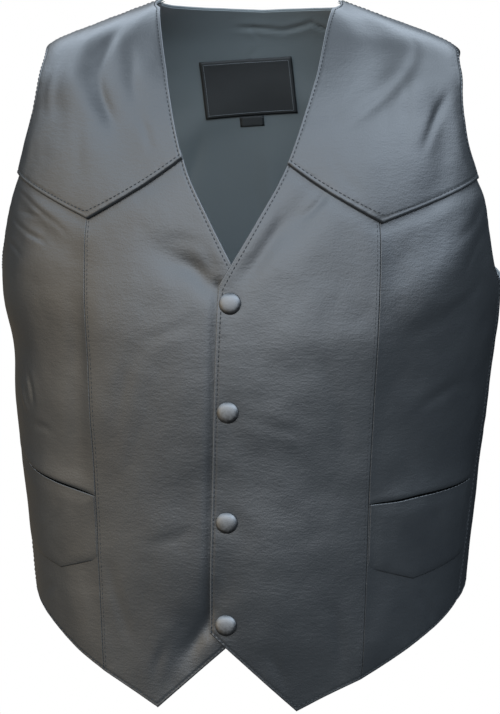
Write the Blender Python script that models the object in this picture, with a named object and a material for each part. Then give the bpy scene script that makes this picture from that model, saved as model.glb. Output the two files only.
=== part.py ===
"""Biker vest of black leather: pointed shoulder yokes, centre and side fronts, slit pockets, one back with
its lining and a bare label, closed at the front by four snaps. It is filled out as if worn, and hollow.

Frame: +Z up, the front faces -Y, the wearer's left is +X. The origin lies midway between the two neck
points, where the shoulder seams meet the neckline. Sizes here are millimetres, and MM turns them to metres.
A place on the cloth is a pair: its angle round the body, in degrees from the centre front towards the
wearer's left, and its height.
"""

import bmesh
import bpy
import numpy as np
from mathutils import Matrix, Vector

MM = 0.001

# Cloth and the clear space between pieces
LEATHER = 2.0
LINING = 1.0
LABEL_CLOTH = 1.0
SEAM_GAP = 0.3
LAID_GAP = 0.8
LABEL_GAP = 1.2
SNAP_GAP = 0.7

# The worn form, one row for each level, from above the neck points down past the front tips
# Columns: height, half width, front depth, back depth, squareness
RINGS = (
    (12, 56, 54, 56, 2.0),
    (0, 79, 60, 66, 2.0),
    (-10, 106, 66, 76, 2.0),
    (-22, 138, 74, 86, 2.0),
    (-36, 174, 83, 96, 2.0),
    (-60, 198, 98, 108, 2.1),
    (-100, 209, 115, 121, 2.2),
    (-160, 218, 131, 131, 2.3),
    (-250, 226, 143, 133, 2.35),
    (-340, 217, 143, 126, 2.4),
    (-430, 207, 140, 119, 2.4),
    (-520, 198, 138, 116, 2.4),
    (-600, 194, 138, 117, 2.4),
    (-680, 193, 138, 118, 2.4),
)

# The largest folds, one row for each; the run is measured from level, and out is how far the cloth moves
# Columns: angle, height, run, half length, half width, out
FOLDS = (
    (-55, -70, 124, 48, 11, -4.0),
    (-63, -66, 118, 42, 13, 2.5),
    (-46, -62, 116, 36, 10, -2.0),
    (60, -52, 58, 52, 13, -3.0),
    (68, -112, 74, 44, 12, -2.5),
    (-15, -224, -30, 36, 14, -3.0),
    (24, -181, 52, 34, 13, -2.5),
    (-63, -192, -32, 46, 10, -3.0),
    (63, -230, 48, 75, 24, 4.0),
    (0, -330, 0, 190, 78, 4.0),
    (0, -650, 0, 200, 110, -6.0),
    (-80, -312, 4, 90, 34, -5.0),
    (-12, -548, 62, 52, 14, -3.0),
    (47, -570, 70, 44, 20, 3.0),
    (-50, -560, 100, 48, 20, 3.0),
    (180, -470, 88, 130, 30, -4.0),
    (140, -430, 80, 120, 24, 3.5),
    (222, -440, 98, 120, 26, 3.5),
    (150, -120, 40, 60, 18, -3.0),
    (210, -125, -38, 60, 18, -3.0),
)

# Shoulders, armholes and side seams; an edge's points are places on the wearer's left
SHOULDER_ANGLE = 90.0
SHOULDER_TIP_HEIGHT = -41.0
SIDE_SEAM_ANGLE = 78.5
FRONT_ARMHOLE = (
    (86, -246), (82, -237), (77.2, -214), (75.4, -190), (73.6, -160), (72.6, -130), (75, -76), (80.5, -50), (90, -41),
)
BACK_ARMHOLE = (
    (86, -246), (93, -245), (101, -240.5), (107.5, -226), (110.5, -195), (111.5, -150), (110, -104), (103, -60),
    (90, -41),
)
ARMHOLE_TURN_HEIGHT = -222.0
BACK_NECK = ((90, 0), (104, -4), (130, -9), (180, -13))

# The closure: the left front laps over the right one, and the front hangs a little out of plumb
# The neckline's points are (distance from the closure line, height)
NECKLINE = ((-11, -241), (21, -184), (44.5, -137), (62, -75), (73, -22), (76.5, -6))
EDGE_PAST_CENTRE_TOP = 11.0
EDGE_PAST_CENTRE_HEM = 15.0
LAPPED_TO = 34.0
LAP_ENDS_AT = 110.0
LAP_FULL_BELOW = -215.0
LAP_GONE_ABOVE = -150.0
FRONT_LEAN = 0.0176
LEAN_PIVOT_HEIGHT = -390.0
LEAN_REACH = 180.0
LEAN_FULL_BELOW = -60.0

# Yoke, princess seam and hem; the two yokes start at slightly different heights on the neckline
YOKE_INNER_HEIGHT = {1: -137.0, -1: -133.0}
YOKE_POINT = (128.5, -187.5)
YOKE_OUTER_HEIGHT = -154.0
YOKE_LAP = 8.0
YOKE_FULL_LIFT_SHARE = 0.12
YOKE_NO_LIFT_SHARE = 0.8
PRINCESS = ((47.4, -187.5), (45.2, -280), (44.4, -390), (44.5, -490), (44.2, -591))
FRONT_CORNER_HEIGHT = -548.0
FRONT_TIP = (63.0, -620.0)
SIDE_HEM = ((44.2, -591), (55, -573), (63, -558.5), (71, -546), (78.5, -535))
BACK_HEM = ((78.5, -535), (92, -529), (130, -530), (180, -532))

# Slit pockets: a pointed patch on each side front, open along its top; the right slit curves up at the side
POCKET_TOP = {
    1: ((44.4, -432), (51.9, -431), (58.9, -428), (66.8, -426), (78.5, -422)),
    -1: ((44.4, -431), (51.9, -427), (58.9, -423), (67.4, -416.5), (78.5, -401)),
}
POCKET_BOTTOM_INNER = -489.0
POCKET_POINT = (58.4, -502.5)
POCKET_BOTTOM_OUTER = -489.0
POCKET_INSET = 1.5
POCKET_LEATHER = 1.6
POCKET_MOUTH = 2.2

# Snaps on the closure line, and the label inside the back neck
SNAP_HEIGHTS = (-255.0, -349.0, -447.0, -540.0)
SNAP_RADIUS = 8.75
SNAP_RISE = 3.4
SNAP_RIM = 1.1
SNAP_LIP = 0.9
SNAP_DOME_TURNS = (20, 40, 60, 75)
SNAP_SEGMENTS = 28
LABEL_CENTRE = (-15.5, -84.0)
LABEL_SIZE = (88.0, 52.0)
LABEL_TILT = 3.3
TAB_SIZE = (20.0, 10.0)
TAB_SHIFT = 2.0

# Grid steps along each stretch of edge
STEPS = {
    "yoke_inner": 9, "yoke_outer": 7, "yoke_height": 9,
    "hem_notch": 5, "hem_inner": 4, "front_edge": 14, "neckline": 6,
    "side_edge": 12, "armhole_low": 8,
    "shoulder": 6, "back_neck": 7, "back_side": 11, "back_armhole_low": 4, "back_armhole": 10,
    "pocket_half": 4, "pocket_height": 4,
    "label_width": 8, "label_height": 4,
}
DENSE = 40
WALK_ROUNDS = 8
EVENING_ROUNDS = 40


def smoothstep(value):
    value = np.clip(value, 0.0, 1.0)
    return value * value * (3.0 - 2.0 * value)


def ring_at(height):
    """Half width, front depth, back depth and squareness of the form at these heights."""
    rows = np.array(RINGS[::-1], float)
    levels = rows[:, 0]
    below = np.clip(np.searchsorted(levels, height) - 1, 0, len(levels) - 2)
    span = levels[below + 1] - levels[below]
    share = (height - levels[below]) / span
    found = []
    for column in rows[:, 1:].T:
        slope = np.gradient(column, levels)
        found.append(
            (2 * share**3 - 3 * share**2 + 1) * column[below]
            + (share**3 - 2 * share**2 + share) * span * slope[below]
            + (3 * share**2 - 2 * share**3) * column[below + 1]
            + (share**3 - share**2) * span * slope[below + 1]
        )
    return found


def form_point(place):
    """The point of the smooth form at each place, in millimetres."""
    angle, height = np.radians(place[..., 0]), place[..., 1]
    half_width, front, back, square = ring_at(height)
    depth = np.where(np.cos(angle) > 0, front, back)
    across = np.abs(np.sin(angle) / half_width) ** square
    along = np.abs(np.cos(angle) / depth) ** square
    radius = (across + along) ** (-1.0 / square)
    return np.stack([radius * np.sin(angle), -radius * np.cos(angle), height], axis=-1)


def form_normal(place):
    """The form's outward direction at each place."""
    turn, rise = np.array([0.2, 0.0]), np.array([0.0, 0.5])
    round_it = form_point(place + turn) - form_point(place - turn)
    up_it = form_point(place + rise) - form_point(place - rise)
    normal = np.cross(round_it, up_it)
    return normal / np.linalg.norm(normal, axis=-1, keepdims=True)


def fold_out(place):
    """How far the folds move the cloth out at each place."""
    point = form_point(place)
    radius = np.hypot(point[..., 0], point[..., 1])
    total = np.zeros(place.shape[:-1])
    for angle, height, run, half_length, half_width, out in FOLDS:
        turn = (place[..., 0] - angle + 180.0) % 360.0 - 180.0
        level, rise = np.radians(turn) * radius, place[..., 1] - height
        tilt = np.radians(run)
        along = level * np.cos(tilt) + rise * np.sin(tilt)
        across = rise * np.cos(tilt) - level * np.sin(tilt)
        total += out * np.exp(-((along / half_length) ** 2) - (across / half_width) ** 2)
    return total


def cloth_point(place, out):
    """The point that lies this far out from the folded cloth's face at each place."""
    return form_point(place) + form_normal(place) * (fold_out(place) + out)[..., None]


def lean(x, height):
    """How far the front's own lines hang out of plumb, fading out at the sides and at the shoulders."""
    reach = np.clip(1.0 - (x / LEAN_REACH) ** 2, 0.0, 1.0)
    drop = np.clip(height / LEAN_FULL_BELOW, 0.0, 1.0)
    return FRONT_LEAN * (height - LEAN_PIVOT_HEIGHT) * reach * drop


def place_at(x, height, behind=False):
    """The place on the form with this x, on the front or on the back."""
    half_width, front, back, square = ring_at(height)
    depth = back if behind else -front
    y = depth * np.clip(1.0 - np.abs(x / half_width) ** square, 0.0, 1.0) ** (1.0 / square)
    angle = np.degrees(np.arctan2(x, -y))
    return np.stack([angle % 360.0 if behind else angle, height], axis=-1)


def front_place(side, x, height):
    """The place x from the closure line on the front of this side: 1 is the wearer's left, -1 the right."""
    return place_at(side * x + lean(x, height), height)


def straight(points):
    """A dense run of pairs along straight lines through the points."""
    points = np.array(points, float)
    share = np.linspace(0.0, len(points) - 1.0, DENSE * (len(points) - 1) + 1)
    return np.stack([np.interp(share, range(len(points)), column) for column in points.T], axis=-1)


def curved(points):
    """A dense run of pairs along a smooth curve through the points."""
    points = np.array(points, float)
    slope = np.gradient(points, axis=0)
    share = np.linspace(0.0, len(points) - 1.0, DENSE * (len(points) - 1) + 1)
    below = np.minimum(share.astype(int), len(points) - 2)
    part = (share - below)[:, None]
    return (
        (2 * part**3 - 3 * part**2 + 1) * points[below]
        + (part**3 - 2 * part**2 + part) * slope[below]
        + (3 * part**2 - 2 * part**3) * points[below + 1]
        + (part**3 - part**2) * slope[below + 1]
    )


def on_front(side, run):
    """A run of (x, height) pairs on one side's front, as places."""
    return front_place(side, run[:, 0], run[:, 1])


def on_side(side, run):
    """A run of places given for the wearer's left, on either side."""
    return run * np.array([side, 1.0])


def even(run, steps):
    """This many even steps along a run of places, by the length on the form."""
    length = np.linalg.norm(np.diff(form_point(run), axis=0), axis=1)
    reached = np.concatenate([[0.0], np.cumsum(length)])
    wanted = np.linspace(0.0, reached[-1], steps + 1)
    return np.stack([np.interp(wanted, reached, column) for column in run.T], axis=-1)


def joined(*runs):
    """One edge from runs that follow on from each other, with each shared corner kept once."""
    return np.concatenate([runs[0]] + [run[1:] for run in runs[1:]])


def shifted(run, distance):
    """A run moved round the body by this distance, towards the wearer's left."""
    point = form_point(run)
    turn = np.degrees(distance / np.hypot(point[:, 0], point[:, 1]))
    return np.stack([run[:, 0] + turn, run[:, 1]], axis=-1)


def cut_at(run, height):
    """The part of a rising run that lies above this height."""
    start = np.array([np.interp(height, run[:, 1], column) for column in run.T])
    return np.concatenate([[start], run[run[:, 1] > height]])


def places_under(point):
    """The places of the form nearest to these points, found by walking down the form's own formula."""
    def height_over_form(point):
        half_width, front, back, square = ring_at(point[..., 2])
        depth = np.where(point[..., 1] < 0, front, back)
        across, along = np.abs(point[..., 0] / half_width), np.abs(point[..., 1] / depth)
        return (across**square + along**square) ** (1.0 / square) - 1.0

    for _ in range(WALK_ROUNDS):
        slope = np.stack(
            [height_over_form(point + step) - height_over_form(point - step) for step in np.eye(3) / 2], axis=-1
        )
        point = point - slope * (height_over_form(point) / (slope**2).sum(axis=-1))[..., None]
    return np.stack([np.degrees(np.arctan2(point[..., 0], -point[..., 1])), point[..., 2]], axis=-1)


def patch(bottom, top, left, right):
    """A grid of places filled in between four edges and evened out; bottom and top run from left to right."""
    across = np.linspace(0.0, 1.0, len(bottom))[None, :, None]
    up = np.linspace(0.0, 1.0, len(left))[:, None, None]
    bottom, top, left, right = map(form_point, (bottom, top, left, right))
    rails = (1 - up) * bottom[None] + up * top[None] + (1 - across) * left[:, None] + across * right[:, None]
    corners = (
        (1 - up) * ((1 - across) * bottom[0] + across * bottom[-1])
        + up * ((1 - across) * top[0] + across * top[-1])
    )
    point = rails - corners
    for _ in range(EVENING_ROUNDS):
        point = form_point(places_under(point))
        around = point[:-2, 1:-1] + point[2:, 1:-1] + point[1:-1, :-2] + point[1:-1, 2:]
        point[1:-1, 1:-1] = around / 4
    return places_under(point)


def paint(name, colour, roughness, metallic=0.0):
    material = bpy.data.materials.get(name) or bpy.data.materials.new(name)
    material.use_nodes = True
    shader = material.node_tree.nodes["Principled BSDF"]
    shader.inputs["Base Color"].default_value = (*colour, 1.0)
    shader.inputs["Roughness"].default_value = roughness
    shader.inputs["Metallic"].default_value = metallic
    return material


def black_leather():
    return paint("black_leather", (0.022, 0.023, 0.025), 0.42)


def black_lining():
    return paint("black_lining", (0.018, 0.020, 0.021), 0.5)


def woven_label():
    return paint("woven_label", (0.008, 0.009, 0.010), 0.75)


def pewter():
    return paint("pewter", (0.55, 0.54, 0.52), 0.36, 1.0)


def add_object(name, shape, material, holder):
    """One named solid from a bmesh, with its faces pointing out, under the holder."""
    bmesh.ops.recalc_face_normals(shape, faces=shape.faces)
    mesh = bpy.data.meshes.new(name)
    shape.to_mesh(mesh)
    shape.free()
    mesh.materials.append(material)
    mesh.shade_smooth()
    mesh.set_sharp_from_angle(angle=np.radians(40))
    solid = bpy.data.objects.new(name, mesh)
    solid.parent = holder
    bpy.context.scene.collection.objects.link(solid)
    return solid


def sheet_of(grids):
    """Grids that share edges as one sheet: the places to keep, and the cells between the kept ones."""
    cells, start = [], 0
    for grid in grids:
        rows, columns = grid.shape[:2]
        number = start + np.arange(rows * columns).reshape(rows, columns)
        corners = (number[:-1, :-1], number[:-1, 1:], number[1:, 1:], number[1:, :-1])
        cells.append(np.stack(corners, axis=-1).reshape(-1, 4))
        start += rows * columns
    points = np.concatenate([form_point(grid).reshape(-1, 3) for grid in grids])
    _, kept, same = np.unique(np.round(points, 3) + 0.0, axis=0, return_index=True, return_inverse=True)
    return kept, same.reshape(-1)[np.concatenate(cells)]


def wall(name, grids, out, thickness, material, holder):
    """A cloth wall: an outer face on the grids, an inner face this much further in, and the rim between them.

    Each cell is cut along its shorter diagonal, the same one on both faces.
    """
    kept, cells = sheet_of(grids)
    places = np.concatenate([grid.reshape(-1, 2) for grid in grids])[kept]
    out = np.concatenate([np.broadcast_to(out, grid.shape[:2]).reshape(-1) for grid in grids])[kept]
    shape = bmesh.new()
    outer = [shape.verts.new(point) for point in cloth_point(places, out) * MM]
    inner = [shape.verts.new(point) for point in cloth_point(places, out - thickness) * MM]
    rim = {}
    for a, b, c, d in cells.tolist():
        if (outer[a].co - outer[c].co).length > (outer[b].co - outer[d].co).length:
            a, b, c, d = b, c, d, a
        for i, j, k in ((a, b, c), (a, c, d)):
            shape.faces.new((outer[i], outer[j], outer[k]))
            shape.faces.new((inner[i], inner[k], inner[j]))
        for start, end in ((a, b), (b, c), (c, d), (d, a)):
            if (end, start) in rim:
                del rim[end, start]
            else:
                rim[start, end] = True
    for start, end in rim:
        shape.faces.new((outer[end], outer[start], inner[start], inner[end]))
    return add_object(name, shape, material, holder)


def neckline(side):
    """The front neckline of one side, from the bottom of the V up to the neck point."""
    run = on_front(side, curved(NECKLINE))
    neck_point = np.array([[side * SHOULDER_ANGLE, 0.0]])
    return joined(run, straight([run[-1], neck_point[0]]))


def princess(side, side_gap):
    """The seam from the yoke's point to the hem, seen from the panel on the given side of it."""
    return shifted(on_side(side, curved(PRINCESS))[::-1], side * side_gap)


def yoke_edges(side):
    """The yoke's lower edge: the inner half from the neckline to the point, then the outer half."""
    start = cut_at(neckline(side), YOKE_INNER_HEIGHT[side])[0]
    point = front_place(side, *map(np.array, YOKE_POINT))
    end = cut_at(on_side(side, curved(FRONT_ARMHOLE)), YOKE_OUTER_HEIGHT)[0]
    return straight([start, point]), straight([point, end])


def yoke(side, name, holder):
    """The pointed yoke from the shoulder seam down over the tops of the two front panels."""
    inner, outer = yoke_edges(side)
    bottom = joined(even(inner, STEPS["yoke_inner"]), even(outer, STEPS["yoke_outer"]))
    shoulder = straight([(side * SHOULDER_ANGLE, 0.0), (side * SHOULDER_ANGLE, SHOULDER_TIP_HEIGHT)])
    top = even(shifted(shoulder, -side * SEAM_GAP / 2), len(bottom) - 1)
    left = even(cut_at(neckline(side), YOKE_INNER_HEIGHT[side]), STEPS["yoke_height"])
    right = even(cut_at(on_side(side, curved(FRONT_ARMHOLE)), YOKE_OUTER_HEIGHT), STEPS["yoke_height"])
    left[-1], right[-1] = top[0], top[-1]
    share = np.linspace(0.0, 1.0, STEPS["yoke_height"] + 1)[:, None]
    fade = (share - YOKE_FULL_LIFT_SHARE) / (YOKE_NO_LIFT_SHARE - YOKE_FULL_LIFT_SHARE)
    lift = (LEATHER + LAID_GAP) * (1.0 - smoothstep(fade))
    return wall(name, [patch(bottom, top, left, right)], lift, LEATHER, black_leather(), holder)


def closure_lift(grid):
    """How far the lapping front stands out over the one below it."""
    point = form_point(grid)
    x = point[..., 0] - lean(point[..., 0], point[..., 2])
    aside = 1.0 - smoothstep((x - LAPPED_TO) / (LAP_ENDS_AT - LAPPED_TO))
    below = 1.0 - smoothstep((point[..., 2] - LAP_FULL_BELOW) / (LAP_GONE_ABOVE - LAP_FULL_BELOW))
    return (LEATHER + LAID_GAP) * aside * below


def centre_front(side, name, holder):
    """The panel between the closure and the princess seam, with the pointed tip at its hem."""
    seam = princess(side, -SEAM_GAP / 2)
    neck = neckline(side)
    neck_top = YOKE_INNER_HEIGHT[side] + YOKE_LAP
    opening = on_front(side, straight([
        (-EDGE_PAST_CENTRE_HEM, FRONT_CORNER_HEIGHT), (-EDGE_PAST_CENTRE_TOP, NECKLINE[0][1])]))
    left = joined(even(opening, STEPS["front_edge"]),
                  even(neck[: len(neck) - len(cut_at(neck, neck_top)) + 1], STEPS["neckline"]))
    right = even(joined(seam, straight([seam[-1], seam[-1] + (0.0, YOKE_LAP)])), len(left) - 1)
    notch = on_front(side, straight([(-EDGE_PAST_CENTRE_HEM, FRONT_CORNER_HEIGHT), FRONT_TIP]))
    sweep = straight([notch[-1], seam[0]])
    bottom = joined(even(notch, STEPS["hem_notch"]), even(sweep, STEPS["hem_inner"]))
    top = even(straight([left[-1], right[-1]]), len(bottom) - 1)
    grid = patch(bottom, top, left, right)
    lift = closure_lift(grid) if side > 0 else 0.0
    return wall(name, [grid], lift, LEATHER, black_leather(), holder)


def side_front(side, name, holder):
    """The panel between the princess seam and the side seam, up to the yoke's outer half."""
    seam = princess(side, SEAM_GAP / 2)
    armhole = on_side(side, curved(FRONT_ARMHOLE))
    low = armhole[: len(armhole) - len(cut_at(armhole, YOKE_OUTER_HEIGHT + YOKE_LAP)) + 1]
    hem = on_side(side, curved(SIDE_HEM))
    side_seam = straight([hem[-1], armhole[0]])
    right = joined(even(side_seam, STEPS["side_edge"]), even(low, STEPS["armhole_low"]))
    right = shifted(right, -side * SEAM_GAP / 2)
    left = even(joined(seam, straight([seam[-1], seam[-1] + (0.0, YOKE_LAP)])), len(right) - 1)
    bottom = even(hem, STEPS["yoke_outer"])
    bottom[0], bottom[-1] = left[0], right[0]
    top = even(straight([left[-1], right[-1]]), STEPS["yoke_outer"])
    return wall(name, [patch(bottom, top, left, right)], 0.0, LEATHER, black_leather(), holder)


def pocket(side, name, holder):
    """The pointed patch of a slit pocket; its top edge stands off the panel behind it."""
    top_line = on_side(side, curved(POCKET_TOP[side]))
    to_point = on_side(side, straight([(POCKET_TOP[side][0][0], POCKET_BOTTOM_INNER), POCKET_POINT]))
    from_point = on_side(side, straight([POCKET_POINT, (SIDE_SEAM_ANGLE, POCKET_BOTTOM_OUTER)]))
    bottom = joined(even(to_point, STEPS["pocket_half"]), even(from_point, STEPS["pocket_half"]))
    top = even(top_line, len(bottom) - 1)
    ends = np.linspace(POCKET_INSET, -POCKET_INSET, len(bottom)) * side
    bottom, top = shifted(bottom, ends), shifted(top, ends)
    left = even(straight([bottom[0], top[0]]), STEPS["pocket_height"])
    right = even(straight([bottom[-1], top[-1]]), STEPS["pocket_height"])
    up = np.linspace(0.0, 1.0, STEPS["pocket_height"] + 1)[:, None]
    across = np.linspace(0.0, np.pi, len(bottom))[None, :]
    out = POCKET_LEATHER + LAID_GAP + POCKET_MOUTH * up**3 * np.sin(across)
    return wall(name, [patch(bottom, top, left, right)], out, POCKET_LEATHER, black_leather(), holder)


def other_side(run):
    """A run on the left half of the back, as it lies on the right half."""
    return np.stack([360.0 - run[:, 0], run[:, 1]], axis=-1)


def back_grids():
    """The back in two grids, which meet at the level where the armholes turn upwards."""
    hem = curved(BACK_HEM)
    armhole = curved(BACK_ARMHOLE)
    rising = cut_at(armhole, ARMHOLE_TURN_HEIGHT)
    low = joined(armhole[: len(armhole) - len(rising) + 1], rising[:1])
    side_seam = shifted(straight([hem[0], armhole[0]]), SEAM_GAP / 2)
    shoulder = straight([(SHOULDER_ANGLE, SHOULDER_TIP_HEIGHT), (SHOULDER_ANGLE, 0.0)])
    shoulder = even(shifted(shoulder, SEAM_GAP / 2), STEPS["shoulder"])
    neck = even(curved(BACK_NECK), STEPS["back_neck"])
    low = even(low, STEPS["back_armhole_low"])
    rising = even(rising, STEPS["back_armhole"])
    left = even(side_seam, STEPS["back_side"])
    low[0], rising[-1], neck[0] = left[-1], shoulder[0], shoulder[-1]
    half_top = joined(shoulder, neck)
    top = joined(half_top, other_side(half_top)[::-1])
    level = even(straight([rising[0], (360.0 - rising[0, 0], ARMHOLE_TURN_HEIGHT)]), len(top) - 1)
    lower_top = joined(low, level, other_side(low)[::-1])
    bottom = even(joined(hem, other_side(hem)[::-1]), len(lower_top) - 1)
    bottom[0], bottom[-1] = left[0], other_side(left)[0]
    return [patch(bottom, lower_top, left, other_side(left)), patch(level, top, rising, other_side(rising))]


def label_piece(name, centre, size, out, holder):
    """A flat woven tag on the inside of the lining, turned by the label's tilt."""
    tilt = np.radians(LABEL_TILT)
    s, t = np.meshgrid(
        np.linspace(-size[0] / 2, size[0] / 2, STEPS["label_width"] + 1),
        np.linspace(-size[1] / 2, size[1] / 2, STEPS["label_height"] + 1),
    )
    x = centre[0] + s * np.cos(tilt) - t * np.sin(tilt)
    height = centre[1] + s * np.sin(tilt) + t * np.cos(tilt)
    return wall(name, [place_at(x, height, behind=True)], out, LABEL_CLOTH, woven_label(), holder)


def snap(height, name, holder):
    """A domed cap with a rounded rim, sitting square on the lapping front."""
    edge = SNAP_LIP / 2
    profile = [(SNAP_RADIUS - edge, 0.0), (SNAP_RADIUS, SNAP_RIM / 2), (SNAP_RADIUS - edge, SNAP_RIM)]
    dome = SNAP_RISE - SNAP_RIM
    for turn in np.radians(SNAP_DOME_TURNS):
        profile.append(((SNAP_RADIUS - SNAP_LIP) * np.cos(turn), SNAP_RIM + dome * np.sin(turn)))
    shape = bmesh.new()
    rings = []
    for radius, rise in profile:
        turns = np.linspace(0.0, 2 * np.pi, SNAP_SEGMENTS, endpoint=False)
        ring = [Vector((radius * np.cos(a), radius * np.sin(a), rise)) * MM for a in turns]
        rings.append([shape.verts.new(point) for point in ring])
    shape.faces.new(rings[0])
    for low, high in zip(rings, rings[1:]):
        for i in range(SNAP_SEGMENTS):
            k = (i + 1) % SNAP_SEGMENTS
            shape.faces.new((low[i], low[k], high[k], high[i]))
    crown = shape.verts.new((0.0, 0.0, SNAP_RISE * MM))
    for i in range(SNAP_SEGMENTS):
        shape.faces.new((rings[-1][i], rings[-1][(i + 1) % SNAP_SEGMENTS], crown))
    cap = add_object(name, shape, pewter(), holder)
    place = front_place(1, np.array(0.0), np.array(height))
    out = LEATHER + LAID_GAP + SNAP_GAP
    turned = Vector(form_normal(place)).to_track_quat("Z", "Y").to_matrix().to_4x4()
    cap.matrix_local = Matrix.Translation(Vector(cloth_point(place, np.array(out)) * MM)) @ turned
    return cap


def main():
    for old in list(bpy.data.objects):
        bpy.data.objects.remove(old)
    holder = bpy.data.objects.new("vest", None)
    bpy.context.scene.collection.objects.link(holder)
    for side, word in ((1, "left"), (-1, "right")):
        yoke(side, f"yoke_{word}", holder)
        centre_front(side, f"front_{word}", holder)
        side_front(side, f"side_{word}", holder)
        pocket(side, f"pocket_{word}", holder)
    wall("back", back_grids(), 0.0, LEATHER, black_leather(), holder)
    lining_out = -LEATHER - LAID_GAP
    wall("back_lining", back_grids(), lining_out, LINING, black_lining(), holder)
    label_out = lining_out - LINING - LABEL_GAP
    label_piece("label", LABEL_CENTRE, LABEL_SIZE, label_out, holder)
    tab_drop = (LABEL_SIZE[1] + TAB_SIZE[1]) / 2 + SEAM_GAP
    tilt = np.radians(LABEL_TILT)
    tab_centre = (
        LABEL_CENTRE[0] + TAB_SHIFT + tab_drop * np.sin(tilt),
        LABEL_CENTRE[1] + TAB_SHIFT * np.sin(tilt) - tab_drop * np.cos(tilt),
    )
    label_piece("size_tab", tab_centre, TAB_SIZE, label_out, holder)
    for number, height in enumerate(SNAP_HEIGHTS, start=1):
        snap(height, f"snap_{number}", holder)


main()
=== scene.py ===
"""Looks of a black leather biker vest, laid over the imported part: soft leather panels with their creases and
stitching, a satin lining with a bare woven label, and four snap caps, in a white studio.

Sizes are millimetres in the part's own frame, and MM turns them to metres: +Z is up, the front faces -Y and
the wearer's left is +X. A place on the cloth is a pair: its angle round the body, in degrees from the centre
front towards the wearer's left, and its height.
"""

import math
from dataclasses import dataclass

import bmesh
import bpy
import numpy as np
from mathutils import Matrix, Vector, noise


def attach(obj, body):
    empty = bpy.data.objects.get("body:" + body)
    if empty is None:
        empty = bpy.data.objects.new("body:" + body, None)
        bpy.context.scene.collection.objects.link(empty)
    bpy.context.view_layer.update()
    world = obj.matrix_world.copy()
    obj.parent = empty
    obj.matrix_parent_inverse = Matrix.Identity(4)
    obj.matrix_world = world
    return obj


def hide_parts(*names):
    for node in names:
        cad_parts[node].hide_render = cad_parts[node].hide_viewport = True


MM = 0.001

# Cloth and the space between the layers
LEATHER = 1.9
LAP_LIFT = 2.8
LINING = 0.9
LINING_OUT = -2.7
LABEL_CLOTH = 0.8
LABEL_OUT = -4.4
POCKET_LEATHER = 0.9
POCKET_OUT = 1.2
POCKET_EDGE_SHARE = 0.3
POCKET_EDGE_REACH = 14.0

# How far in from each kind of edge the cloth thins to it; other edges have the plain one
EDGE_ROUND = {"seam": 0.6, "stitched seam": 0.35, "princess": 0.3, "bevelled": 9.0, "merged": 0.5}
PLAIN_ROUND = 1.1

# What a distance reads where there is nothing near to measure to
FAR = 99.0

# The worn form, one row for each level, from above the neck points down past the front tips
# Columns: height, half width, front depth, back depth, squareness
RINGS = (
    (12, 56, 54, 56, 2.0),
    (0, 79, 60, 66, 2.0),
    (-10, 106, 66, 76, 2.0),
    (-22, 138, 74, 86, 2.0),
    (-36, 174, 83, 96, 2.0),
    (-60, 198, 98, 108, 2.1),
    (-100, 209, 115, 121, 2.2),
    (-160, 218, 131, 131, 2.3),
    (-250, 226, 143, 133, 2.35),
    (-340, 217, 143, 126, 2.4),
    (-430, 207, 140, 119, 2.4),
    (-520, 198, 138, 116, 2.4),
    (-600, 194, 138, 117, 2.4),
    (-680, 193, 138, 118, 2.4),
)

# The largest folds, as the part has them
# Columns: angle, height, run from level, half length, half width, out
FOLDS = (
    (-55, -70, 124, 48, 11, -4.0),
    (-63, -66, 118, 42, 13, 2.5),
    (-46, -62, 116, 36, 10, -2.0),
    (60, -52, 58, 52, 13, -3.0),
    (68, -112, 74, 44, 12, -2.5),
    (-15, -224, -30, 36, 14, -3.0),
    (24, -181, 52, 34, 13, -2.5),
    (-63, -192, -32, 46, 10, -3.0),
    (63, -230, 48, 75, 24, 4.0),
    (0, -330, 0, 190, 78, 4.0),
    (0, -650, 0, 200, 110, -6.0),
    (-80, -312, 4, 90, 34, -5.0),
    (-12, -548, 62, 52, 14, -3.0),
    (47, -570, 70, 44, 20, 3.0),
    (-50, -560, 100, 48, 20, 3.0),
    (180, -470, 88, 130, 30, -4.0),
    (140, -430, 80, 120, 24, 3.5),
    (222, -440, 98, 120, 26, 3.5),
    (150, -120, 40, 60, 18, -3.0),
    (210, -125, -38, 60, 18, -3.0),
)

# Slower waves of the hanging fronts, and a fold of the part made shallower, in the same columns
HANG = (
    (0, -480, 0, 190, 75, 3.0),
    (30, -645, 0, 90, 72, -9.0),
    (-63, -192, -32, 46, 10, 1.8),
)

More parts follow.
